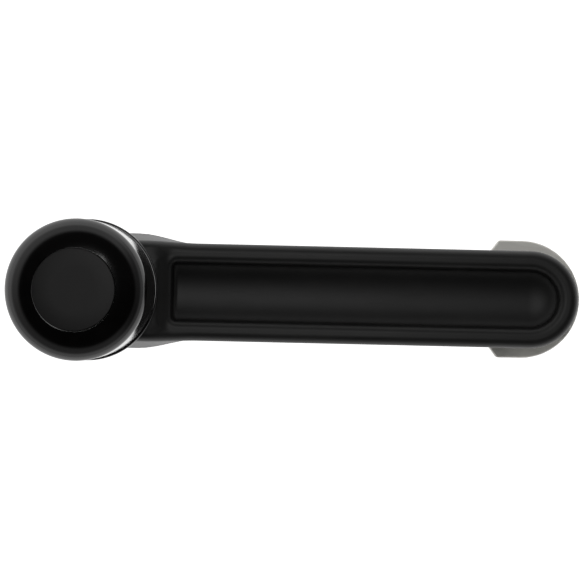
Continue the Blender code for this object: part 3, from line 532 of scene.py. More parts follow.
def dust_group():
    """Specks of dust that have settled on faces that look up."""
    tree, start, end = new_group("Settled dust", [("Vector", VECTOR, None), ("Amount", FLOAT, 0.2)], ["Mask"])
    surface = add(tree, "ShaderNodeNewGeometry")
    upward = add(tree, "ShaderNodeSeparateXYZ", {0: surface.outputs["Normal"]}).outputs[2]
    specks = add(tree, "ShaderNodeTexVoronoi", {"Vector": start["Vector"], "Scale": 650.0, "Randomness": 1.0})
    chosen = add(tree, "ShaderNodeSeparateColor", {0: specks.outputs["Color"]}).outputs[0]
    point = ranged(tree, specks.outputs["Distance"], 0.16, 0.05)
    rare = ranged(tree, chosen, 0.975, 0.99)
    film = noise(tree, start["Vector"], 70.0, 5.0, 0.6)
    layer = maths(tree, "MULTIPLY", ranged(tree, film, 0.5, 0.75), 0.25)
    both = maths(tree, "MAXIMUM", maths(tree, "MULTIPLY", point, rare), layer)
    facing = ranged(tree, upward, 0.5, 0.95)
    settled = maths(tree, "MULTIPLY", both, facing)
    link(tree, end["Mask"], maths(tree, "MULTIPLY", settled, start["Amount"], clamp=True))
    return tree


GROUPS = {}


def grouped(tree, name, **inputs):
    """Places a shared effect in a material."""
    makers = {
        "Moulded grain": grain_group, "Edge wear": wear_group, "Handling scratches": scratch_group,
        "Lathe lines": lathe_group, "Settled dust": dust_group,
    }
    if name not in GROUPS:
        GROUPS[name] = makers[name]()
    node = tree.nodes.new("ShaderNodeGroup")
    node.node_tree = GROUPS[name]
    for key, value in inputs.items():
        link(tree, node.inputs[key.replace("_", " ").capitalize()], value)
    return node.outputs


def new_finish(name):
    """A material with its shader and the place on the object."""
    material = bpy.data.materials.new(name)
    material.use_nodes = True
    tree = material.node_tree
    shader = tree.nodes["Principled BSDF"]
    place = tree.nodes.new("ShaderNodeTexCoord").outputs["Object"]
    return material, tree, shader, place


def bumped(tree, shader, *layers):
    """Lays each (height, distance) on the last and feeds the shader's normal."""
    normal = None
    for height, distance in layers:
        node = add(tree, "ShaderNodeBump", {"Height": height, "Distance": distance, "Strength": 1.0})
        if normal is not None:
            tree.links.new(normal, node.inputs["Normal"])
        normal = node.outputs[0]
    tree.links.new(normal, shader.inputs["Normal"])


def moulded_finish(
    name, base, roughness, grain, relief, flow=0.06, wear=0.3, scratches=0.3, dust=0.15, wave=0.0, gloss=0.5
):
    """Moulded plastic: its colour drifts with the flow, edges are rubbed, and dust sits on it."""
    material, tree, shader, place = new_finish(name)
    texture = grouped(tree, "Moulded grain", vector=place, size=grain)
    rubbed = grouped(tree, "Edge wear", vector=place, width=0.0007, break_up=0.6)["Mask"]
    marks = grouped(tree, "Handling scratches", vector=place, amount=scratches)["Mask"]
    dusty = grouped(tree, "Settled dust", vector=place, amount=dust)["Mask"]
    light = tuple(min(channel * 1.32 + 0.0003, 1) for channel in base)
    dark = tuple(channel * 0.80 for channel in base)
    worn = tuple(min(channel * 1.7 + 0.004, 1) for channel in base)
    drift = ranged(tree, texture["Flow"], 0.36, 0.66, smooth=True)
    body = mixed(tree, drift, dark, light)
    flecks = maths(tree, "MULTIPLY", ranged(tree, texture["Speckle"], 0.60, 0.80), 0.5)
    flecked = mixed(tree, flecks, body, light)
    edged = mixed(tree, maths(tree, "MULTIPLY", rubbed, wear), flecked, worn)
    scuffed = mixed(tree, maths(tree, "MULTIPLY", marks, 0.35), edged, worn)
    link(tree, shader.inputs["Base Color"], mixed(tree, dusty, scuffed, (0.36, 0.34, 0.31)))
    shader.inputs["Specular IOR Level"].default_value = gloss
    rough = maths(tree, "MULTIPLY_ADD", maths(tree, "SUBTRACT", texture["Flow"], 0.5), flow * 2, roughness)
    rough = maths(tree, "MULTIPLY_ADD", rubbed, -0.06 * wear, rough)
    rough = maths(tree, "MULTIPLY_ADD", marks, 0.10, rough)
    link(tree, shader.inputs["Roughness"], maths(tree, "MULTIPLY_ADD", dusty, 0.4, rough, clamp=True))
    layers = [(texture["Height"], relief), (marks, -0.000004)]
    if wave:
        layers.insert(0, (noise(tree, place, 95.0, 1.0, 0.4), wave))
    bumped(tree, shader, *layers)
    return material


def metal_finish(
    name, base, roughness, pitch, relief, axis=DRIVE_AXIS, turned_piece=True, stain=(0.42, 0.40, 0.36)
):
    """Machined metal: turning lines, a slow change of tone, rubbed edges and a little staining."""
    material, tree, shader, place = new_finish(name)
    centred = add(tree, "ShaderNodeMapping", {"Vector": place, "Location": (-axis.x, -axis.y, 0)}).outputs[0]
    if turned_piece:
        lines = grouped(tree, "Lathe lines", vector=centred, pitch=pitch)
        height, tone = lines["Height"], lines["Tone"]
    else:
        laid = add(tree, "ShaderNodeMapping", {"Vector": place, "Scale": (1.0, 1.0, 0.06)}).outputs[0]
        height = noise(tree, laid, 1 / pitch, 3.0, 0.6)
        tone = noise(tree, laid, 160.0, 3.0)
    rubbed = grouped(tree, "Edge wear", vector=place, width=0.0004, break_up=1.0)["Mask"]
    marks = grouped(tree, "Handling scratches", vector=place, amount=0.8)["Mask"]
    cloud = noise(tree, place, 130.0, 4.0, 0.6)
    dark = tuple(channel * 0.86 for channel in base)
    light = tuple(min(channel * 1.12, 1) for channel in base)
    body = mixed(tree, ranged(tree, tone, 0.35, 0.65), dark, light)
    tarnish = tuple(channel * part for channel, part in zip(base, stain))
    stained = mixed(tree, maths(tree, "MULTIPLY", ranged(tree, cloud, 0.58, 0.78), 0.35), body, tarnish)
    link(tree, shader.inputs["Base Color"], mixed(tree, rubbed, stained, light))
    shader.inputs["Metallic"].default_value = 1.0
    rough = maths(tree, "MULTIPLY_ADD", maths(tree, "SUBTRACT", tone, 0.5), 0.25, roughness)
    rough = maths(tree, "MULTIPLY_ADD", ranged(tree, cloud, 0.5, 0.8), 0.12, rough)
    link(tree, shader.inputs["Roughness"], maths(tree, "MULTIPLY_ADD", marks, 0.12, rough, clamp=True))
    bumped(tree, shader, (height, relief), (marks, -0.000003))
    return material


def make_finishes(colours):
    """Rows of name, colour, roughness, grain's size and depth, then flow, wear, scratches, dust, wave, gloss."""
    arm, knob, cap = colours.arm_roughness, colours.knob_roughness, colours.cap_roughness
    for row in (
        ("satin_black_nylon", colours.arm, arm, 0.00042, 0.000010, 0.05, 0.35, 0.25, 0.04, 0.0, 0.46),
        ("gloss_black_plastic", colours.knob, knob, 0.00035, 0.0000012, 0.03, 0.2, 0.35, 0.02, 0.00001, 0.62),
        ("satin_black_cap", colours.cap, cap, 0.00024, 0.000008, 0.04, 0.6, 0.3, 0.03, 0.0, 0.32),
        ("warm_grey_nylon", colours.collar, 0.46, 0.00050, 0.000012, 0.08, 0.25, 0.4, 0.2),
        ("white_acetal", colours.acetal, 0.36, 0.00060, 0.000005, 0.05, 0.1, 0.3, 0.1),
        ("black_rubber", colours.rubber, 0.72, 0.00030, 0.000014, 0.06, 0.5, 0.1, 0.5),
    ):
        moulded_finish(*row)
    metal_finish("turned_steel", colours.steel, 0.27, 0.00022, 0.0000060)
    metal_finish("turned_steel_at_knob", colours.steel, 0.25, 0.00022, 0.0000060, KNOB_AXIS)
    wire = tuple(channel * 0.8 for channel in colours.steel)
    for row in (
        ("milled_steel", colours.steel, 0.30, 0.00030, 0.0000070),
        ("polished_steel", colours.steel, 0.10, 0.00050, 0.0000010),
        ("spring_steel", wire, 0.30, 0.00030, 0.0000040),
    ):
        metal_finish(*row, turned_piece=False)
    metal_finish(
        "turned_brass", colours.brass, 0.30, 0.00025, 0.0000060, turned_piece=False, stain=(0.55, 0.42, 0.30)
    )


# Arm


def arm_stations(sizes):
    """Places along the straight part of the arm, from the drive axis towards the knob."""
    flare_end = KNOB_AXIS.x + sizes.flare_far
    corner = KNOB_AXIS.x + sizes.trough_from_knob + sizes.trough_corner
    straight = [flare_end * step / 8 for step in range(1, 9)]
    return straight + [flare_end + (corner - flare_end) * step / 4 for step in range(1, 5)]


def eased(along):
    """A share from 0 to 1 with a soft start and end."""
    along = min(max(along, 0.0), 1.0)
    return along * along * (3 - 2 * along)


def rise_at(sizes, x):
    """How far the top stands above the rim, up the ramp to the boss."""
    return sizes.boss_rise * eased((KNOB_AXIS.x + sizes.ramp_far - x) / (sizes.ramp_far - sizes.ramp_near))


def flare_at(sizes, x):
    """How far the arm has widened into the boss, from 0 to 1."""
    return eased((sizes.flare_far - (x - KNOB_AXIS.x)) / (sizes.flare_far - sizes.flare_near))


def half_at(sizes, x):
    """Half the arm's width."""
    return ARM_HIGH.x + (ARM_HIGH.y - ARM_HIGH.x) * flare_at(sizes, x)


def arc(radius, centre_x, start, steps):
    """Half a turn from start, about a place that lies centre_x along."""
    turns = [start + math.pi * step / steps for step in range(steps + 1)]
    return [(centre_x + radius * math.cos(turn), radius * math.sin(turn)) for turn in turns]


def arm_outline(sizes):
    """Once round the arm from above. It has as many points as the trough's edge has."""
    side = [(x, half_at(sizes, x)) for x in arm_stations(sizes)]
    corner_x = side[-1][0]
    near = KNOB_AXIS.x + sizes.flare_near
    for step in range(1, CORNER_STEPS):
        x = corner_x + (near - corner_x) * step / (CORNER_STEPS - 1)
        side.append((x, half_at(sizes, x)))
    drive_end = arc(ARM_HIGH.x, 0, -math.pi / 2, END_STEPS)
    boss_end = arc(ARM_HIGH.y, KNOB_AXIS.x, math.pi / 2, BOSS_STEPS)
    return drive_end + side + boss_end + [(x, -y) for x, y in reversed(side)]


def trough_shell(shape, sizes, rim_level):
    """The trough's floor, sides and square end. Returns the edges round its mouth."""
    half = ARM_HIGH.x - sizes.rim_width
    bowl = sizes.trough_depth - sizes.trough_wall
    start = shape.verts.new((0, 0, -half))
    bmesh.ops.spin(shape, geom=[start], cent=(0, 0, 0), axis=(1, 0, 0), angle=math.pi / 2, steps=14)
    bmesh.ops.scale(shape, vec=(1, 1, bowl / half), verts=shape.verts)
    bmesh.ops.translate(shape, vec=(0, 0, rim_level - sizes.trough_wall), verts=shape.verts)
    side = shape.edges[:]
    section = shape.verts[:] + shape.edges[:]
    spun = bmesh.ops.spin(shape, geom=section, cent=(0, 0, 0), axis=(0, 0, 1), angle=-math.pi, steps=END_STEPS)
    edges = side + kinds(spun["geom_last"], bmesh.types.BMEdge)
    stations = arm_stations(sizes)
    end_x = KNOB_AXIS.x + sizes.trough_from_knob
    last = 0.0
    for x in stations[:-1] + [end_x]:
        edges = drawn_out(shape, edges, (x - last, 0, 0))
        last = x
    bmesh.ops.remove_doubles(shape, verts=shape.verts, dist=TINY)

    def at_end(edge):
        return all(abs(vert.co.x - end_x) < TINY for vert in edge.verts)

    end = [edge for edge in shape.edges if at_end(edge)]
    top = sorted({vert for edge in end for vert in edge.verts}, key=lambda vert: vert.co.z)[-2:]
    across = shape.edges.new(top)
    bmesh.ops.contextual_create(shape, geom=end + [across])
    rounded(shape, end, sizes.trough_corner, CORNER_STEPS, "EDGES")
    mouth_level = rim_level - sizes.trough_wall - TINY
    across = [edge for edge in shape.edges if edge.is_boundary and at_end(edge)]
    bmesh.ops.subdivide_edges(shape, edges=across, cuts=BOSS_STEPS - 1)
    open_edges = [edge for edge in shape.edges if edge.is_boundary]
    return [edge for edge in open_edges if min(vert.co.z for vert in edge.verts) > mouth_level]


def outward(sizes, place):
    """The way out of the trough, seen from above, at a place on its edge."""
    half = ARM_HIGH.x - sizes.rim_width
    corner_x = KNOB_AXIS.x + sizes.trough_from_knob + sizes.trough_corner
    spine = Vector((min(max(place.x, corner_x), 0.0), 0.0, 0.0))
    if place.x < corner_x - TINY:
        inside = half - sizes.trough_corner
        spine.y = min(max(place.y, -inside), inside)
    away = Vector((place.x, place.y, 0.0)) - spine
    return away.normalized(), place.x < corner_x - TINY


def rim_rings(shape, edges, sizes):
    """Rounds the trough's edge over onto the rim, ring by ring. Returns the outermost ring."""
    rounding = sizes.rim_inner
    wall = sizes.trough_wall - rounding
    rings = [(0.0, 0.0, wall)] if wall > TINY else []
    count = 8
    for step in range(1, count + 1):
        turn = math.pi / 2 * step / count
        out = rounding * (1 - math.cos(turn))
        rings.append((out, out * 0.75, wall + rounding * math.sin(turn)))
    reach = sizes.rim_width - sizes.rim_outer - 0.0004
    far = sizes.trough_from_knob - sizes.ramp_near + 0.0006
    for step in range(1, 6):
        along = step / 5
        side_out = rounding + (reach - rounding) * along
        end_out = rounding * 0.75 + (far - rounding * 0.75) * along
        rings.append((side_out, end_out, sizes.trough_wall + sizes.crown * along))
    start = {vert: (vert.co.copy(), *outward(sizes, vert.co)) for edge in edges for vert in edge.verts}
    for side_out, end_out, up in rings:
        edges = drawn_out(shape, edges, (0, 0, 0))
        moved = {vert for edge in edges for vert in edge.verts}
        following = {}
        for vert in moved:
            for edge in vert.link_edges:
                if edge.other_vert(vert) in start:
                    following[vert] = start[edge.other_vert(vert)]
        for vert, (origin, away, at_end) in following.items():
            vert.co = origin + Vector((away.x * (end_out if at_end else side_out), away.y * side_out, up))
        start = following
    return edges


def arm_skin(sizes):
    """The whole arm before its hollows underneath."""
    rim_level = ARM_HIGH.z - sizes.boss_rise - sizes.crown
    shape = bmesh.new()
    mouth = trough_shell(shape, sizes, rim_level)
    inner = rim_rings(shape, mouth, sizes)
    bottom = ARM_LOW.z + sizes.bottom_edge
    side_top = ARM_HIGH.z - sizes.boss_rise - sizes.rim_outer
    verts, _ = chain(shape, [(x, y, bottom) for x, y in arm_outline(sizes)], closed=True)
    face = bmesh.ops.contextual_create(shape, geom=verts)["faces"][0]
    top = raised(shape, face, (0, 0, side_top - bottom))
    for vert in top.verts:
        keep = 1 - sizes.boss_draft / ARM_HIGH.y * flare_at(sizes, vert.co.x)
        vert.co.y *= keep
        if vert.co.x < KNOB_AXIS.x:
            vert.co.x = KNOB_AXIS.x + (vert.co.x - KNOB_AXIS.x) * keep
    stepped(shape, top, quarter(sizes.rim_outer, sizes.rim_outer, 8))
    stepped(shape, face, quarter(sizes.bottom_edge, sizes.bottom_edge, 5))
    outer = list(top.edges)
    bmesh.ops.delete(shape, geom=[top], context="FACES_ONLY")
    bridged(shape, outer, inner)
    for vert in shape.verts:
        if vert.co.z > side_top - TINY:
            vert.co.z += rise_at(sizes, vert.co.x)
    bmesh.ops.recalc_face_normals(shape, faces=shape.faces)
    return shape


def pocket_cutters(sizes):
    """The weight-saving pockets under the arm, with a rib between each two."""
    start = KNOB_AXIS.x + sizes.pocket_from_knob
    end = -COLLAR_HIGH.x - sizes.pocket_from_collar
    length = (end - start - sizes.pocket_rib * (sizes.pocket_count - 1)) / sizes.pocket_count
    half = ARM_HIGH.x - sizes.pocket_side
    roof = ARM_HIGH.z - sizes.boss_rise - sizes.trough_depth - sizes.pocket_roof
    cutters = []
    for place in range(sizes.pocket_count):
        x = start + place * (length + sizes.pocket_rib)
        low, high = (x, -half, ARM_LOW.z), (x + length, half, roof)
        cutters.append(round_block(low, high, sizes.pocket_corner, 0.0025, mouth=0.0006, draft=0.0003))
    return cutters


class WINCH_OT_arm(bpy.types.Operator):
    """Builds the moulded arm with its trough, rims, boss and the hollows underneath"""

    bl_idname = "winch.arm"
    bl_label = "Arm"

    def execute(self, context):
        sizes = context.scene.winch_arm
        drive = context.scene.winch_drive
        shape = arm_skin(sizes)
        flange_radius = HUB_HIGH.x + FIT
        hexagon_radius = drive.hexagon / 2 / HEXAGON + FIT
        flange_seat = ARM_LOW.z + drive.flange + FIT
        edge = 0.0005
        seat = [
            (0, HUB_HIGH.z + FIT), (hexagon_radius, HUB_HIGH.z + FIT), (hexagon_radius, flange_seat),
            (flange_radius, flange_seat), (flange_radius, ARM_LOW.z + edge),
            (flange_radius + edge + CUT_CLEAR, ARM_LOW.z - CUT_CLEAR), (0, ARM_LOW.z - CUT_CLEAR),
        ]
        nut_roof = ARM_LOW.z + sizes.nut_recess_depth
        nut = [
            (0, nut_roof), (sizes.nut_recess, nut_roof, 0.0008), (sizes.nut_recess, ARM_LOW.z + edge),
            (sizes.nut_recess + edge + CUT_CLEAR, ARM_LOW.z - CUT_CLEAR), (0, ARM_LOW.z - CUT_CLEAR),
        ]
        cutters = [turned(seat, DRIVE_AXIS, FINE), turned(nut, KNOB_AXIS, FINE)]
        cutters.append(cylinder(STUD_RADIUS, nut_roof - CUT_CLEAR, ARM_HIGH.z + CUT_CLEAR, KNOB_AXIS))
        cutters += pocket_cutters(sizes)
        shape = carved(shape, cutters)
        finished(shape, "moulded_arm", "satin_black_nylon", "arm", ["arm_body"])
        return {"FINISHED"}


# Knob


def knob_section(sizes):
    """The knob's section, from the cap's recess out over the shoulder, down the side and back up inside."""
    rim = half_width("grip_cap") + sizes.cap_gap
    top, foot = SHELL_HIGH.z, SHELL_LOW.z
    seat = CAP_HIGH.z - 0.0021
    foot_radius = half_width("grip_shell")
    across = (sizes.shoulder - rim) / (1 - math.sin(math.pi / 2 * sizes.lead))
    height = sizes.rounding / math.cos(math.pi / 2 * sizes.lead)
    centre = sizes.shoulder - across
    steps = 22
    section = [(rim, seat)]
    for step in range(steps + 1):
        turn = math.pi / 2 * (sizes.lead + (1 - sizes.lead) * step / steps)
        section.append((centre + across * math.sin(turn), top - sizes.rounding + height * math.cos(turn)))
    section.append((sizes.shoulder + (foot_radius - sizes.shoulder) * 0.5, (top - sizes.rounding + foot) / 2))
    section.append((foot_radius, foot + 0.0006))
    section.append((foot_radius - 0.0006, foot))
    inner = foot_radius - sizes.wall
    section += [
        (inner, foot), (sizes.shoulder - sizes.wall, top - sizes.rounding, 0.0030),
        (rim + 0.0022, top - 0.0046, 0.0015), (WELL_RADIUS, top - 0.0046),
    ]
    well_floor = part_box("upper_bush")[1].z - 0.0014 - FIT
    tube_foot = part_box("lower_bush")[0].z + 0.0014 + FIT
    section += [
        (WELL_RADIUS, well_floor - 0.0026), (TUBE_BORE + 0.0030, well_floor - 0.0026, 0.0010),
        (TUBE_BORE + 0.0030, tube_foot), (TUBE_BORE, tube_foot), (TUBE_BORE, well_floor),
        (PLUG_HOLE, well_floor), (PLUG_HOLE, seat),
    ]
    return section


class WINCH_OT_knob(bpy.types.Operator):
    """Builds the turning knob: its rounded shell, its base with a lip, the satin cap and the dust seal"""

    bl_idname = "winch.knob"
    bl_label = "Knob"

    def execute(self, context):
        sizes = context.scene.winch_knob
        foot = SHELL_LOW.z
        shell = turned(knob_section(sizes), KNOB_AXIS, KNOB_SIDES)
        posts = [cylinder(0.0044, foot + 0.0013, foot + 0.0123, middle(name)) for name in BASE_SCREWS]
        shell = carved(shell, posts, "UNION")
        tops = [(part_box(name)[1].z + 0.0006, middle(name)) for name in BASE_SCREWS]
        holes = [cylinder(0.00165, foot - CUT_CLEAR, top, place) for top, place in tops]
        shell = carved(shell, holes)
        finished(shell, "knob_shell", "gloss_black_plastic", "knob", ["grip_shell"], sharp=28)

        lip = half_width("grip_base")
        lip_top = foot - FIT
        step_top = BASE_HIGH.z
        seal_low, seal_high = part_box("dust_seal")
        seal_outer = half_width("dust_seal")
        seal_inner = seal_outer - sizes.seal_width
        groove = seal_high.z + FIT
        step_outer = half_width("grip_shell") - sizes.wall - 0.0006
        base = turned(
            [
                (0.0200, step_top, 0.0004), (step_outer, step_top, 0.0004), (step_outer, lip_top),
                (lip, lip_top, 0.0009), (lip, BASE_LOW.z, 0.0009), (seal_outer + FIT, BASE_LOW.z, 0.0002),
                (seal_outer + FIT, groove), (seal_inner - FIT, groove),
                (seal_inner - FIT, BASE_LOW.z, 0.0002), (sizes.hole, BASE_LOW.z, 0.0005),
                (sizes.hole, lip_top), (0.0200, lip_top),
            ],
            KNOB_AXIS, KNOB_SIDES,
        )
        holes = [screw_hole(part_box(name)[0].z, 0.0090, middle(name)) for name in BASE_SCREWS]
        base = carved(base, holes)
        finished(base, "knob_base", "gloss_black_plastic", "knob", ["grip_base"])

        cap_radius = half_width("grip_cap")
        cap_under = CAP_HIGH.z - 0.0018
        plug = 0.0110
        cap = turned(
            [
                (0, CAP_HIGH.z - 0.00012), (cap_radius * 0.55, CAP_HIGH.z - 0.00008),
                (cap_radius, CAP_HIGH.z, sizes.cap_edge), (cap_radius, cap_under, 0.0003),
                (plug, cap_under), (plug, CAP_LOW.z, 0.0003), (plug - 0.0018, CAP_LOW.z, 0.0003),
                (plug - 0.0018, cap_under), (0, cap_under),
            ],
            KNOB_AXIS, FINE,
        )
        finished(cap, "knob_cap", "satin_black_cap", "knob", ["grip_cap"], sharp=50)

        seal = turned(
            [
                (seal_inner, seal_high.z, 0.0003), (seal_outer, seal_high.z, 0.0003),
                (seal_outer, seal_low.z + 0.0005, 0.0002), (seal_outer - 0.0012, seal_low.z, 0.0003),
                (seal_outer - 0.0016, seal_low.z + 0.0004, 0.0002),
                (seal_inner + 0.0016, seal_low.z + 0.0004, 0.0002),
                (seal_inner + 0.0012, seal_low.z, 0.0003), (seal_inner, seal_low.z + 0.0005, 0.0002),
            ],
            KNOB_AXIS, FINE, 3,
        )
        finished(seal, "dust_ring", "black_rubber", "knob", ["dust_seal"], sharp=50)
        return {"FINISHED"}


# Screws


def screw_hole(bottom, length, place, grow=0.0002):
    """The hole for a countersunk screw whose head is down."""
    shank, head = 0.0015 + grow, 0.0030 + grow
    return turned(
        [
            (0, bottom + length + CUT_CLEAR), (shank, bottom + length + CUT_CLEAR),
            (shank, bottom + 0.0015), (head, bottom), (head, bottom - CUT_CLEAR), (0, bottom - CUT_CLEAR),
        ],
        place, PLAIN,
    )


def screw(node):
    """A countersunk socket screw, head down, with its thread above."""
    low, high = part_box(node)
    place = middle(node)
    radius = (high.x - low.x) / 2
    shape = bmesh.new()
    bmesh.ops.create_circle(shape, cap_ends=False, segments=6, radius=0.00115)
    bmesh.ops.subdivide_edges(shape, edges=shape.edges[:], cuts=PLAIN // 6 - 1)
    inner_edges = shape.edges[:]
    bmesh.ops.create_circle(shape, cap_ends=False, segments=PLAIN, radius=radius * 0.97)
    outer_edges = ring_at(shape, radius * 0.97)
    bridged(shape, outer_edges, inner_edges)
    wall = drawn_out(shape, inner_edges, (0, 0, 0.0012))
    floor = drawn_out(shape, wall, (0, 0, 0.0004))
    floor_verts = list({vert for edge in floor for vert in edge.verts})
    bmesh.ops.scale(shape, vec=(0.05, 0.05, 1), verts=floor_verts)
    bmesh.ops.holes_fill(shape, edges=floor, sides=0)
    levels = [(1.0, 0.00009), (0.5, 0.0015), (0.47, 0.0017)]
    pitch, crest, root = 0.0005, 0.5, 0.425
    level = 0.0019
    top = high.z - low.z
    while level < top - 0.0008:
        levels += [(crest, level), (root, level + pitch / 2)]
        level += pitch
    levels += [(crest, top - 0.0005), (0.40, top)]
    rings, scale_now, level_now = outer_edges, 0.97, 0.0
    for reach, level in levels:
        rings = drawn_out(shape, rings, (0, 0, level - level_now))
        verts = list({vert for edge in rings for vert in edge.verts})
        bmesh.ops.scale(shape, vec=(reach / scale_now, reach / scale_now, 1), verts=verts)
        scale_now, level_now = reach, level
    bmesh.ops.holes_fill(shape, edges=rings, sides=0)
    bmesh.ops.recalc_face_normals(shape, faces=shape.faces)
    bmesh.ops.translate(shape, vec=(place.x, place.y, low.z), verts=shape.verts)
    return shape


class WINCH_OT_screws(bpy.types.Operator):
    """Builds the countersunk socket screws of the hub and of the knob's base"""

    bl_idname = "winch.screws"
    bl_label = "Screws"

    def execute(self, context):
        for body, names in (("arm", HUB_SCREWS), ("knob", BASE_SCREWS)):
            for name in names:
                piece = name.replace("_screw_", "_fixing_")
                finished(screw(name), piece, "milled_steel", body, [name])
        return {"FINISHED"}


# Drive


def star_face(shape, sizes, level):
    """Two squares an eighth of a turn apart, as one face with its points blunted."""
    point = sizes.flats / math.sqrt(2)
    valley = sizes.flats / 2 / math.cos(math.pi / 8)
    made = bmesh.ops.create_circle(shape, cap_ends=True, segments=16, radius=1.0)["verts"]
    points = []
    for vert in made:
        eighth = math.degrees(math.atan2(vert.co.y, vert.co.x)) / 45
        is_point = abs(eighth - round(eighth)) < 0.01
        reach = point if is_point else valley
        vert.co = Vector((vert.co.x * reach, vert.co.y * reach, level))
        if is_point:
            points.append(vert)
    rounded(shape, points, sizes.blunt / (math.sqrt(2) - 1), 4)
    return max(shape.faces, key=lambda face: len(face.verts))


def column_radius(sizes):
    """The round column under the star, just past its blunted points."""
    return sizes.flats / math.sqrt(2) - sizes.blunt + sizes.shoulder


class WINCH_OT_drive(bpy.types.Operator):
    """Builds the steel hub with its star spigot, column, flange and hexagon"""

    bl_idname = "winch.drive"
    bl_label = "Drive"

    def execute(self, context):
        sizes = context.scene.winch_drive
        star = bmesh.new()
        face = star_face(star, sizes, 0.0008)
        raised(star, face, (0, 0, HUB_LOW.z - 0.0008))
        bmesh.ops.recalc_face_normals(star, faces=star.faces)

        column = column_radius(sizes)
        flange = HUB_HIGH.x
        flange_top = ARM_LOW.z + sizes.flange
        body = turned(
            [
                (0, flange_top), (flange, flange_top, 0.0004), (flange, ARM_LOW.z, 0.0005),
                (column + 0.0003, ARM_LOW.z), (column, ARM_LOW.z - 0.0004), (column, 0, 0.0006), (0, 0),
            ],
            DRIVE_AXIS, FINE,
        )
        hexagon = cylinder(sizes.hexagon / 2 / HEXAGON, flange_top - 0.001, HUB_HIGH.z, DRIVE_AXIS, 6)
        rounded(hexagon, hexagon.edges[:], 0.0005, 2, "EDGES")
        body = carved(body, [star, hexagon], "UNION")

        start = column - sizes.shoulder - sizes.chamfer
        reach = 0.0045
        tip_cutter = turned(
            [
                (start - 0.0010, HUB_LOW.z - 0.0010), (start + reach, HUB_LOW.z + reach),
                (start + reach, HUB_LOW.z - 0.0010),
            ],
            DRIVE_AXIS, FINE,
        )
        plunger_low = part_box("lock_plunger")[0].z
        bore = cylinder(half_width("lock_plunger") + FIT, plunger_low - 0.0005, HUB_HIGH.z + CUT_CLEAR)
        pin_low, pin_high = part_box("cross_pin")
        slot_half = (pin_high.x - pin_low.x) / 2 + FIT
        slot = round_slot(pin_low.z - FIT, pin_high.z + sizes.lift + FIT, slot_half, column)
        cutters = [tip_cutter, bore, slot]
        ball_low, ball_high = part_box("lock_ball_1")
        ball_radius = (ball_high.z - ball_low.z) / 2
        for name in BALLS:
            cutters.append(radial_cutter(name, ball_radius - sizes.ball_inset, ball_radius + 0.00015))
        for name in HUB_SCREWS:
            cutters.append(screw_hole(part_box(name)[0].z, 0.0040, middle(name)))
        body = carved(body, cutters)
        finished(body, "star_hub", "turned_steel", "arm", ["drive_hub"], sharp=25)
        return {"FINISHED"}


def round_slot(low, high, half, reach):
    """A slot with round ends, through the column from side to side."""
    shape = bmesh.new()
    points = []
    for start, level in ((0.0, high - half), (math.pi, low + half)):
        for across, up in arc(half, 0, start, 10):
            points.append((across, -reach - CUT_CLEAR, level + up))
    verts, _ = chain(shape, points, closed=True)
    face = bmesh.ops.contextual_create(shape, geom=verts)["faces"][0]
    raised(shape, face, (0, 2 * (reach + CUT_CLEAR), 0))
    bmesh.ops.recalc_face_normals(shape, faces=shape.faces)
    return shape


def radial_cutter(name, mouth, bore):
    """The bore of a ball, from the middle of the spigot out through its narrower mouth."""
    low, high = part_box(name)
    centre = (low + high) / 2
    away = Vector((centre.x, centre.y, 0))
    reach = away.length
    shape = turned(
        [
            (0, reach + 0.008), (mouth + 0.0004, reach + 0.008), (mouth + 0.0004, reach + 0.00155),
            (mouth, reach + 0.0012), (bore, reach + 0.0010), (bore, 0.0004), (0, 0.0004),
        ],
        DRIVE_AXIS, PLAIN,
    )
    turn = Vector((0, 0, 1)).rotation_difference(away.normalized()).to_matrix()
    bmesh.ops.rotate(shape, cent=(0, 0, 0), matrix=turn, verts=shape.verts)
    bmesh.ops.translate(shape, vec=(0, 0, centre.z), verts=shape.verts)
    return shape


# Lock


def collar_outline(sizes):
    """The collar from above: round past the arm's end, straight sides, then slanted in under the arm."""
    radius = COLLAR_HIGH.x
    back = COLLAR_LOW.x
    slant = (-back - sizes.wing_straight - 0.0035, 0.0060)
    half = [
        (-sizes.wing_straight, radius), (-sizes.wing_straight - slant[0], radius - slant[1]),
        (back, radius - 2 * slant[1]),
    ]
    end = arc(radius, 0, -math.pi / 2, 48)
    return end + half + [(x, -y) for x, y in reversed(half)]


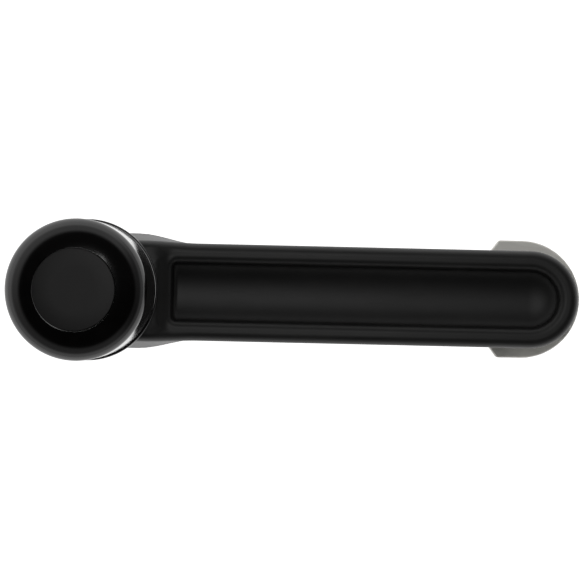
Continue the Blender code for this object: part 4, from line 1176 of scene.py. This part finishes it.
class WINCH_OT_lock(bpy.types.Operator):
    """Builds the lift collar, the cross pin, the four balls and the spring of the lock"""

    bl_idname = "winch.lock"
    bl_label = "Lock"

    def execute(self, context):
        sizes = context.scene.winch_drive
        column = column_radius(sizes)
        wing_low = COLLAR_HIGH.z - sizes.wing_thickness
        plate = bmesh.new()
        outline = collar_outline(sizes)
        verts, _ = chain(plate, [(x, y, wing_low + sizes.wing_edge) for x, y in outline], closed=True)
        corners = [vert for vert in verts if vert.co.x < -sizes.wing_straight + TINY]
        rounded(plate, corners, 0.0008, 4)
        face = bmesh.ops.contextual_create(plate, geom=plate.verts[:] + plate.edges[:])["faces"][0]
        top = raised(plate, face, (0, 0, sizes.wing_thickness - 2 * sizes.wing_edge))
        for flat in (top, face):
            stepped(plate, flat, quarter(sizes.wing_edge, sizes.wing_edge, 5))
        bmesh.ops.recalc_face_normals(plate, faces=plate.faces)
        sleeve = turned(
            [
                (0, COLLAR_HIGH.z - 0.0012), (SLEEVE_RADIUS, COLLAR_HIGH.z - 0.0012),
                (SLEEVE_RADIUS, wing_low - 0.0006), (SLEEVE_RADIUS, COLLAR_LOW.z, 0.0008),
                (0, COLLAR_LOW.z),
            ],
            DRIVE_AXIS, FINE,
        )
        collar = carved(plate, [sleeve], "UNION")
        bore_radius, mouth = column + FIT, 0.0006
        bore = turned(
            [
                (0, COLLAR_HIGH.z + CUT_CLEAR),
                (bore_radius + mouth + CUT_CLEAR, COLLAR_HIGH.z + CUT_CLEAR),
                (bore_radius, COLLAR_HIGH.z - mouth), (bore_radius, COLLAR_LOW.z + mouth),
                (bore_radius + mouth + CUT_CLEAR, COLLAR_LOW.z - CUT_CLEAR), (0, COLLAR_LOW.z - CUT_CLEAR),
            ],
            DRIVE_AXIS, FINE,
        )
        pin_low, pin_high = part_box("cross_pin")
        pin_radius = (pin_high.x - pin_low.x) / 2
        pin_middle = (pin_high.z + pin_low.z) / 2
        hole = cylinder(pin_radius + 0.00015, -SLEEVE_RADIUS - CUT_CLEAR, SLEEVE_RADIUS + CUT_CLEAR)
        half = half_width("cross_pin")
        pin = turned([(0, half), (pin_radius, half, 0.0005), (pin_radius, -half, 0.0005), (0, -half)])
        for shape in (hole, pin):
            laid = Matrix.Rotation(math.pi / 2, 3, "X")
            bmesh.ops.rotate(shape, cent=(0, 0, 0), matrix=laid, verts=shape.verts)
            bmesh.ops.translate(shape, vec=(0, 0, pin_middle), verts=shape.verts)
        collar = carved(collar, [bore, hole])
        finished(collar, "lift_collar", "warm_grey_nylon", "release", ["lock_collar"], sharp=25)
        finished(pin, "release_pin", "milled_steel", "release", ["cross_pin"])

        for number, name in enumerate(BALLS, 1):
            low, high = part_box(name)
            ball = bmesh.new()
            centre = Matrix.Translation((low + high) / 2)
            bmesh.ops.create_icosphere(ball, subdivisions=5, radius=(high.z - low.z) / 2, matrix=centre)
            piece = f"detent_ball_{number}"
            finished(ball, piece, "polished_steel", f"ball_{number}", [name], sharp=80)
        self.spring(sizes)
        return {"FINISHED"}

    def spring(self, sizes):
        """The coil that pushes the plunger down."""
        low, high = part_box("lock_spring")
        wire = sizes.spring_wire / 2
        mean = (high.y - low.y) / 2 - wire
        coil = bmesh.new()
        foot = Matrix.Translation((mean, 0, low.z + wire)) @ Matrix.Rotation(math.pi / 2, 4, "X")
        section = bmesh.ops.create_circle(coil, cap_ends=False, segments=14, radius=wire, matrix=foot)["verts"]
        steps = int(36 * sizes.spring_turns)
        climb = (high.z - low.z - 2 * wire) / steps
        bmesh.ops.spin(
            coil, geom=section + coil.edges[:], cent=(0, 0, 0), axis=(0, 0, 1), dvec=(0, 0, climb),
            angle=2 * math.pi * sizes.spring_turns, steps=steps,
        )
        ends = [edge for edge in coil.edges if edge.is_boundary]
        bmesh.ops.holes_fill(coil, edges=ends, sides=0)
        bmesh.ops.recalc_face_normals(coil, faces=coil.faces)
        piece = finished(coil, "return_spring", "spring_steel", "arm", ["lock_spring"], sharp=60)
        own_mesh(piece)


# Spindle, bearings and inserts: the frame's own meshes with their finishes


class WINCH_OT_bearings(bpy.types.Operator):
    """Builds the spindle's nut and gives the hidden fittings of the frame their finishes"""

    bl_idname = "winch.bearings"
    bl_label = "Bearings"

    def execute(self, context):
        finishes = {
            "grip_spindle": "turned_steel_at_knob", "spindle_washer": "turned_steel_at_knob",
            "thrust_washer": "turned_steel_at_knob", "retaining_washer": "turned_steel_at_knob",
            "retaining_screw": "turned_steel_at_knob", "lower_bush": "white_acetal",
            "upper_bush": "white_acetal", "spring_cap": "turned_steel", "lock_plunger": "turned_steel",
            **{f"hub_insert_{number}": "turned_brass" for number in range(1, 5)},
        }
        for node, finish in finishes.items():
            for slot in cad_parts[node].material_slots:
                slot.material = bpy.data.materials[finish]
        finished(self.nut(), "spindle_locknut", "milled_steel", "arm", ["spindle_nut"])
        return {"FINISHED"}

    def nut(self):
        """A hexagon nut with its corners turned off and its bore chamfered."""
        low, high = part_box("spindle_nut")
        place = middle("spindle_nut")
        corner = (high.y - low.y) / 2
        bore = STUD_RADIUS
        height = high.z - low.z
        shape = bmesh.new()
        sixth = Matrix.Rotation(math.pi / 6, 4, "Z")
        bmesh.ops.create_circle(shape, cap_ends=False, segments=6, radius=corner, matrix=sixth)
        bmesh.ops.subdivide_edges(shape, edges=shape.edges[:], cuts=PLAIN // 6 - 1)
        lower = shape.edges[:]
        upper = drawn_out(shape, lower, (0, 0, height))
        face_radius = corner * HEXAGON * 0.985
        for vert in shape.verts:
            drop = max(math.hypot(vert.co.x, vert.co.y) - face_radius, 0) * math.tan(math.radians(30))
            vert.co.z += drop if vert.co.z < height / 2 else -drop
        mouths = []
        for ring, level, step in ((lower, 0.0, 0.0004), (upper, height, -0.0004)):
            for radius, here in ((face_radius, level), (bore + 0.0005, level), (bore, level + step)):
                at_level = Matrix.Translation((0, 0, here))
                bmesh.ops.create_circle(shape, cap_ends=False, segments=PLAIN, radius=radius, matrix=at_level)
                following = ring_at(shape, radius, here)
                bridged(shape, ring, following)
                ring = following
            mouths.append(ring)
        bridged(shape, *mouths)
        bmesh.ops.recalc_face_normals(shape, faces=shape.faces)
        bmesh.ops.translate(shape, vec=(place.x, place.y, low.z), verts=shape.verts)
        return shape


class WINCH_OT_finishes(bpy.types.Operator):
    """Makes the materials of every piece"""

    bl_idname = "winch.finishes"
    bl_label = "Finishes"

    def execute(self, context):
        make_finishes(context.scene.winch_colours)
        return {"FINISHED"}


# Studio


def pale_floor(glow):
    material, tree, shader, place = new_finish("pale_floor")
    drift = noise(tree, place, 1.4, 3.0)
    link(tree, shader.inputs["Base Color"], mixed(tree, drift, (0.80, 0.80, 0.80), (0.84, 0.84, 0.84)))
    shader.inputs["Roughness"].default_value = 0.8
    shader.inputs["Specular IOR Level"].default_value = 0.2
    shader.inputs["Emission Color"].default_value = (1, 1, 1, 1)
    shader.inputs["Emission Strength"].default_value = glow
    under = tree.nodes.new("ShaderNodeNewGeometry").outputs["Backfacing"]
    link(tree, shader.inputs["Alpha"], maths(tree, "SUBTRACT", 1.0, under))
    return material


class WINCH_OT_studio(bpy.types.Operator):
    """Builds the pale floor, the room's soft light and the camera over the handle"""

    bl_idname = "winch.studio"
    bl_label = "Studio"

    def execute(self, context):
        settings = context.scene.winch_studio
        shape = bmesh.new()
        under = Matrix.Translation((0, 0, FRAME_BOX[0][2] - 0.0004))
        bmesh.ops.create_grid(shape, x_segments=8, y_segments=8, size=4.0, matrix=under)
        floor = loose_object(shape, "studio_floor")
        floor.data.materials.append(pale_floor(settings.floor_glow))

        world = bpy.data.worlds.new("studio_room")
        context.scene.world = world
        world.use_nodes = True
        tree = world.node_tree
        tree.nodes.clear()
        direction = tree.nodes.new("ShaderNodeTexCoord").outputs["Generated"]
        eastward, northward, upward = add(tree, "ShaderNodeSeparateXYZ", {0: direction}).outputs
        glow = ranged(tree, upward, 0.54, 0.67, settings.horizon, settings.ceiling, smooth=True)
        skirting = ranged(tree, upward, 0.20, 0.38, settings.skirting, 0.0, smooth=True)
        glow = maths(tree, "MULTIPLY", glow, ranged(tree, eastward, 0.45, 0.85, 1.0, 0.3, smooth=True))
        glow = maths(tree, "MULTIPLY", glow, ranged(tree, northward, -0.6, 0.6, 0.68, 1.65, smooth=True))
        skirting = maths(tree, "MULTIPLY", skirting, ranged(tree, eastward, 0.3, 0.8, 1.0, 0.6))
        glow = maths(tree, "ADD", glow, skirting)
        glow = maths(tree, "MULTIPLY", glow, ranged(tree, upward, -0.25, -0.02, 0.35, 1.0, smooth=True))
        seen = add(tree, "ShaderNodeLightPath").outputs["Is Camera Ray"]
        strength = maths(tree, "ADD", maths(tree, "MULTIPLY", glow, maths(tree, "SUBTRACT", 1.0, seen)), seen)
        background = add(tree, "ShaderNodeBackground", {"Color": (1, 1, 1), "Strength": strength})
        output = tree.nodes.new("ShaderNodeOutputWorld")
        tree.links.new(background.outputs[0], output.inputs["Surface"])

        light = bpy.data.lights.new("softbox", "AREA")
        light.shape = "RECTANGLE"
        light.size = settings.softbox_size * 0.7
        light.size_y = settings.softbox_size
        light.energy = settings.softbox_power
        lamp = bpy.data.objects.new("softbox", light)
        context.scene.collection.objects.link(lamp)
        lamp.location = settings.softbox_place
        lean = Vector((KNOB_AXIS.x / 2, 0, ARM_HIGH.z)) - lamp.location
        lamp.rotation_euler = (math.atan2(lean.y, -lean.z), 0, 0)

        camera = bpy.data.cameras.new("camera")
        camera.lens = settings.camera_lens
        camera.sensor_width = 36.0
        camera.clip_start = 0.01
        camera.clip_end = 50.0
        eye = bpy.data.objects.new("camera", camera)
        context.scene.collection.objects.link(eye)
        eye.location = settings.camera_place
        eye.rotation_euler = (0, 0, settings.camera_turn)
        context.scene.camera = eye
        context.scene.view_settings.view_transform = "Standard"
        return {"FINISHED"}


class WINCH_PT_panel(bpy.types.Panel):
    """Lists the handle's pieces"""

    bl_label = "Winch Handle"
    bl_idname = "WINCH_PT_panel"
    bl_space_type = "VIEW_3D"
    bl_region_type = "UI"
    bl_category = "Winch Handle"

    def draw(self, context):
        for operator in OPERATORS:
            self.layout.operator(operator.bl_idname)


OPERATORS = (
    WINCH_OT_finishes,
    WINCH_OT_arm,
    WINCH_OT_knob,
    WINCH_OT_screws,
    WINCH_OT_drive,
    WINCH_OT_lock,
    WINCH_OT_bearings,
    WINCH_OT_studio,
)
SETTINGS = {
    "winch_arm": ArmSizes,
    "winch_knob": KnobSizes,
    "winch_drive": DriveSizes,
    "winch_colours": FinishColours,
    "winch_studio": StudioSettings,
}


def register():
    for group in SETTINGS.values():
        bpy.utils.register_class(group)
    for name, group in SETTINGS.items():
        setattr(bpy.types.Scene, name, bpy.props.PointerProperty(type=group))
    for operator in OPERATORS:
        bpy.utils.register_class(operator)
    bpy.utils.register_class(WINCH_PT_panel)


def unregister():
    bpy.utils.unregister_class(WINCH_PT_panel)
    for operator in reversed(OPERATORS):
        bpy.utils.unregister_class(operator)
    for name in SETTINGS:
        delattr(bpy.types.Scene, name)
    for group in reversed(SETTINGS.values()):
        bpy.utils.unregister_class(group)


def main():
    register()
    bpy.ops.winch.finishes()
    bpy.ops.winch.arm()
    bpy.ops.winch.knob()
    bpy.ops.winch.screws()
    bpy.ops.winch.drive()
    bpy.ops.winch.lock()
    bpy.ops.winch.bearings()
    bpy.ops.winch.studio()


if __name__ == "__main__":
    main()
